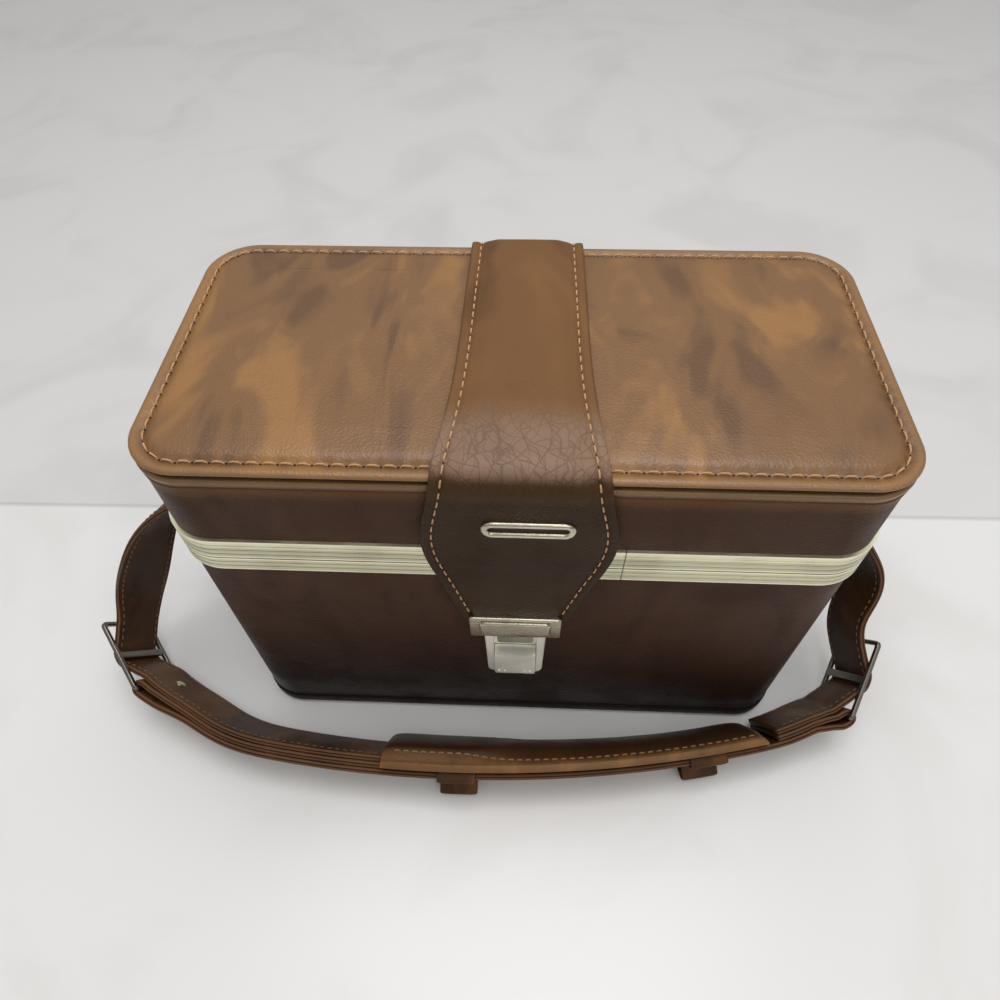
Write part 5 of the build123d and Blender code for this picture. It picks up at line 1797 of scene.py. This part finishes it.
@dataclass
class ShoulderPad:
    """The padded sleeve on the strap and the two keepers that hold it."""

    lay: StrapLay
    left: float = -2.9
    right: float = 14.2
    low: float = -4.5
    high: float = 38.0
    back: float = 3.6
    thickness: float = 7.9
    keeper_places: tuple = (0.4, 11.45)
    keeper_length: float = 20.0
    swell: float = 5.5
    mouth: float = 3.1
    mouth_height: float = 7.4
    seam_inset: float = 4.2
    seam_depth: float = 0.923

    @staticmethod
    def fullness(t: Array) -> Array:
        """How full the pad is along it: most near its left end, least at its right end."""
        return 0.15 + 0.85 * (1 - ramp(t, -0.75, 0.95))

    def inner_face(self, t: Array, from_edge: Array | float, depth_part: Array | float) -> Array:
        """Height of the pad's inner face above its flat back.

        Half the thickness times 1 + depth * crown, where the crown dips at the seam, plus the swell, which
        rises by the smooth step of the distance from the edge, faster at the left end.

        Args:
            t: Place along the pad from -1 to 1.
            from_edge: Distance from the nearer long edge.
            depth_part: Part of the half thickness that the rounded section reaches there.

        Returns:
            The height in millimetres.
        """
        dip = 0.1 * np.exp(-(((from_edge - self.seam_inset) / 1.2) ** 2))
        crown = 0.78 + 0.22 * ramp(from_edge, 4, 12) - dip
        reach = 6.0 + 9.0 * ramp(t, -0.6, -0.2)
        risen = self.swell * self.fullness(t) * ramp((from_edge - 0.5) / (reach - 0.5), 0.0, 1.0)
        return self.thickness / 2 * (1 + depth_part * crown) + risen

    def build(self, outfitter: Outfitter) -> None:
        """Make and dress the pad, its seam and the keepers."""
        look = outfitter.palette
        pad = self.pad().piece("pad_leather_cushion")
        outfitter.dress(pad, look.pad, Body.PAD, ["shoulder_pad"], "pad_leather", 0.6)
        seam = Stitching(pitch=4.6, length=3.4, radius=0.4, lift=0.2)
        heading = np.linspace(self.left + 0.5, self.right - 0.5, 200)
        t = (heading - (self.left + self.right) / 2) / ((self.right - self.left) / 2)
        risen = self.inner_face(t, self.seam_inset, self.seam_depth)
        line = self.lay.lying(heading, self.high - self.seam_inset, self.back + risen + 0.1)
        normal = self.lay.leaning(heading)[1]
        outfitter.dress(seam.threads(line, normal).piece("pad_stitches", weld=False), look.pad_thread, Body.PAD)
        for place, solid, name in zip(self.keeper_places, both("keeper"), both("pad_keeper")):
            outfitter.dress(self.keeper(place).piece(name), look.strap, Body.PAD, [solid], "strap_leather")

    def pad(self) -> Shape:
        """The pad: a leaning cushion section carried along the front arc and rounded at both ends.

        Along it, with t from -1 to 1, the section shrinks by (1 - t^26)^(1/2) towards each end. The inner
        face is crowned, with a sewn dip near each edge. The back is flat, and open at the left end, where
        the tails of the straps slide in under the cushion.
        """
        t = np.sin(np.linspace(-np.pi / 2, np.pi / 2, 180))
        heading = (self.left + self.right) / 2 + (self.right - self.left) / 2 * t
        shrink = np.clip(1 - np.abs(t) ** 26, 0.0, 1) ** 0.5
        half = (self.high - self.low) / 2
        centre = (self.low + self.high) / 2
        turn = np.linspace(0, 2 * np.pi, 72, endpoint=False)
        width_part = np.sign(np.cos(turn)) * np.abs(np.cos(turn)) ** 0.32
        depth_part = np.sign(np.sin(turn)) * np.abs(np.sin(turn)) ** 0.55
        behind = np.sin(turn) < -1e-6
        share = turn / np.pi - 1
        level = (*(self.low + np.array((0.0, 0.6, 2.8, 3.6))), *(self.high - np.array((5.0, 4.2, 0.6, 0.0))))
        seat = np.interp(share, (0.0, 0.12, 0.17, 0.2, 0.8, 0.83, 0.88, 1.0), level)
        width_part = np.where(behind, (seat - centre) / half, width_part)
        narrow = np.where(t < 0, 0.93 + 0.07 * shrink, 0.86 + 0.14 * shrink)[:, None]
        pocket = behind & (share > 0.15) & (share < 0.85)
        across = centre + half * width_part[None, :] * np.where(pocket, 1.0, narrow)
        from_edge = half * (1 - np.abs(width_part))
        front = self.inner_face(t[:, None], from_edge[None, :], depth_part[None, :])
        deep = np.where(behind, self.thickness / 2 * (1 + depth_part), front)
        close = np.where(t < 0, 0.8 + 0.2 * shrink, 0.25 + 0.75 * shrink)[:, None]
        under = (behind & (share > 0.18) & (share < 0.82))[None, :] & (heading < self.left + self.mouth)[:, None]
        inward = self.back + np.where(under, self.mouth_height, deep * close)
        marks = {"across": width_part[None, :], "through": depth_part[None, :]}
        return Shape.swept(self.lay.lying(heading[:, None], across, inward), marks)

    def keeper(self, place: float) -> Shape:
        """A leather loop round the strap, its joined ends standing out as a tab at the lower outer edge.

        Args:
            place: Heading of its middle along the front.

        Returns:
            The closed loop.
        """
        half_turn = np.degrees(self.keeper_length / 2 / self.lay.front_radius)
        tab = ((13.6, -1.2), (12.2, -12.6), (9.4, -12.8), (0.4, -2.4))
        round_strap = ((-1.2, 0.4), (-1.2, 4.3), (33.2, 4.3), (33.2, -1.1))
        start = (16.0, -1.2)
        loop = rounded_runs((start, *tab, *round_strap, start), 0.9, 0.8)[:-1]
        direction = unit(np.roll(loop, -1, axis=0) - np.roll(loop, 1, axis=0))
        outward = np.stack((direction[:, 1], -direction[:, 0]), axis=1)
        section = strip_profile(2.0, 1.5, 0.3)
        swing = section[:, 0] * half_turn
        across = loop[:, None, 0] + outward[:, None, 0] * section[None, :, 1]
        inward = loop[:, None, 1] + outward[:, None, 1] * section[None, :, 1]
        marks = {"across": section[None, :, 0], "through": section[None, :, 1]}
        return Shape.swept(self.lay.lying((place + swing)[None, :], across, inward), marks, closed_path=True)


class Hardware:
    """Metal and board solids that keep their own shape and get a finish."""

    def build(self, outfitter: Outfitter) -> None:
        """Assign each solid's finish."""
        look = outfitter.palette
        hinges = (*both("hinge_base_leaf"), *both("hinge_lid_leaf"), *both("hinge_pin"))
        for material, names in (
            (look.rim, ("base_valance", "lid_valance")),
            (look.nickel, ("slot_plate", "hasp_plate", *hinges, *both("lug"))),
            (look.satin_nickel, ("lock_case", "lock_thumb")),
            # The nickel tongue seen through the lock's window gets a darker copy of the nickel: painted shade.
            (look.shaded_nickel, ("hasp_tongue",)),
            (look.dark_steel, (*both("buckle"), *both("strap_ring"))),
            (look.board, ("base_shell", "lid_shell")),
        ):
            for name in names:
                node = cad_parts[name]
                node.data.materials.clear()
                node.data.materials.append(material)
                outfitter.report(node)


@dataclass
class Studio:
    """Pale floor, soft lamps and the camera."""

    camera_place: tuple = (3.11, -236.77, 422.21)
    pitch: float = 52.573
    yaw: float = -3.390
    roll: float = -1.270
    lens: float = 26.06

    def build(self, outfitter: Outfitter) -> None:
        """Set the whole scene."""
        self.floor(outfitter.palette.floor)
        self.lamps()
        self.camera()
        bpy.context.scene.view_settings.view_transform = "Standard"

    @staticmethod
    def floor(material: bpy.types.Material) -> None:
        """The floor as a flat stage piece, given by its corners in metres."""
        mesh = bpy.data.meshes.new("floor")
        mesh.from_pydata([(-2.5, -1.5, 0), (2.5, -1.5, 0), (2.5, 2.5, 0), (-2.5, 2.5, 0)], [], [(0, 1, 2, 3)])
        mesh.materials.append(material)
        made = bpy.data.objects.new("floor", mesh)
        bpy.context.scene.collection.objects.link(made)

    @staticmethod
    def lamp(name: str, place: tuple, aim: tuple, size: float, power: float, colour: Colour) -> None:
        """A square area lamp.

        Args:
            name: Its name.
            place: Its position in metres.
            aim: The point it faces.
            size: Its side.
            power: Its power in watts.
            colour: Its colour.
        """
        data = bpy.data.lights.new(name, "AREA")
        data.size, data.energy, data.color = size, power, colour
        made = bpy.data.objects.new(name, data)
        made.location = place
        made.rotation_euler = (Vector(aim) - Vector(place)).to_track_quat("-Z", "Y").to_euler()
        bpy.context.scene.collection.objects.link(made)

    def lamps(self) -> None:
        """A broad lamp overhead, a weak one from the front, and a soft surround that is brighter above."""
        self.lamp("lamp_overhead", (0.05, 0.1, 1.4), (0.0, 0.0, 0.15), 0.9, 9.5, (0.98, 0.97, 1.0))
        self.lamp("lamp_front", (0.45, -1.0, 1.0), (0.1, 0.0, 0.1), 0.8, 3.0, (1.0, 0.98, 0.95))
        world = bpy.data.worlds.new("soft_surround")
        world.use_nodes = True
        w = Wiring(world.node_tree)
        above = w.node("SeparateXYZ", {0: w.node("TexCoord").outputs["Generated"]}).outputs["Z"]
        sky = w.blend(w.spread(above, -0.1, 0.75), (0.22, 0.215, 0.21, 1.0), (1.0, 0.995, 0.99, 1.0))
        seen = w.node("LightPath").outputs["Is Camera Ray"]
        sky = w.blend(seen, sky, (0.98, 0.975, 0.97, 1.0))
        surround = world.node_tree.nodes["Background"]
        w.feed(surround, {0: sky, 1: 0.66})
        bpy.context.scene.world = world

    def camera(self) -> None:
        """Place the camera: rolled about its own axis, pitched down from level and turned to its heading."""
        yaw, pitch, roll = np.radians((self.yaw, self.pitch, self.roll)).tolist()
        heading, tilt = Matrix.Rotation(-yaw, 4, "Z"), Matrix.Rotation(np.pi / 2 - pitch, 4, "X")
        turn = heading @ tilt @ Matrix.Rotation(roll, 4, "Z")
        data = bpy.data.cameras.new("camera")
        data.lens, data.sensor_width, data.sensor_fit = self.lens, 36.0, "HORIZONTAL"
        data.clip_start, data.clip_end = 0.01, 50.0
        made = bpy.data.objects.new("camera", data)
        made.matrix_world = Matrix.Translation(Vector(self.camera_place) * MM) @ turn
        bpy.context.scene.collection.objects.link(made)
        bpy.context.scene.camera = made


def main() -> None:
    """Build every sub-assembly in order."""
    logging.basicConfig(level=logging.INFO, format="%(name)s %(message)s")
    outfitter = Outfitter(Palette())
    lay = StrapLay()
    left = StrapEnd(
        lay, Side.LEFT, heading=-31.0, run=44.5, rise=3.0, bar_inward=-0.5, turn=24.0, tail=-2.7,
        ring=(-157.5, 0.0, 126.0), hang=((0.33, 12.8, 6.0, 8.5), (0.66, 13.6, 3.4, -2.0)), twist=(0.15, 0.15, 0.02),
    )
    right = StrapEnd(
        lay, Side.RIGHT, heading=31.0, run=20.8, rise=9.5, bar_inward=-2.3, turn=36.0, tail=16.2,
        ring=(157.5, 0.0, 126.0), hang=((0.33, 11.8, 8.0, 2.0), (0.66, 15.0, 6.0, -2.5)), twist=(0.1, 0.12, 0.0),
    )
    for assembly in (Base(), Lid(), Flap(), Strap(lay, (left, right)), ShoulderPad(lay), Hardware(), Studio()):
        assembly.build(outfitter)
        LOG.info("%s done", type(assembly).__name__)
    LOG.info("%d pieces", len(outfitter.made))


if __name__ == "__main__":
    main()
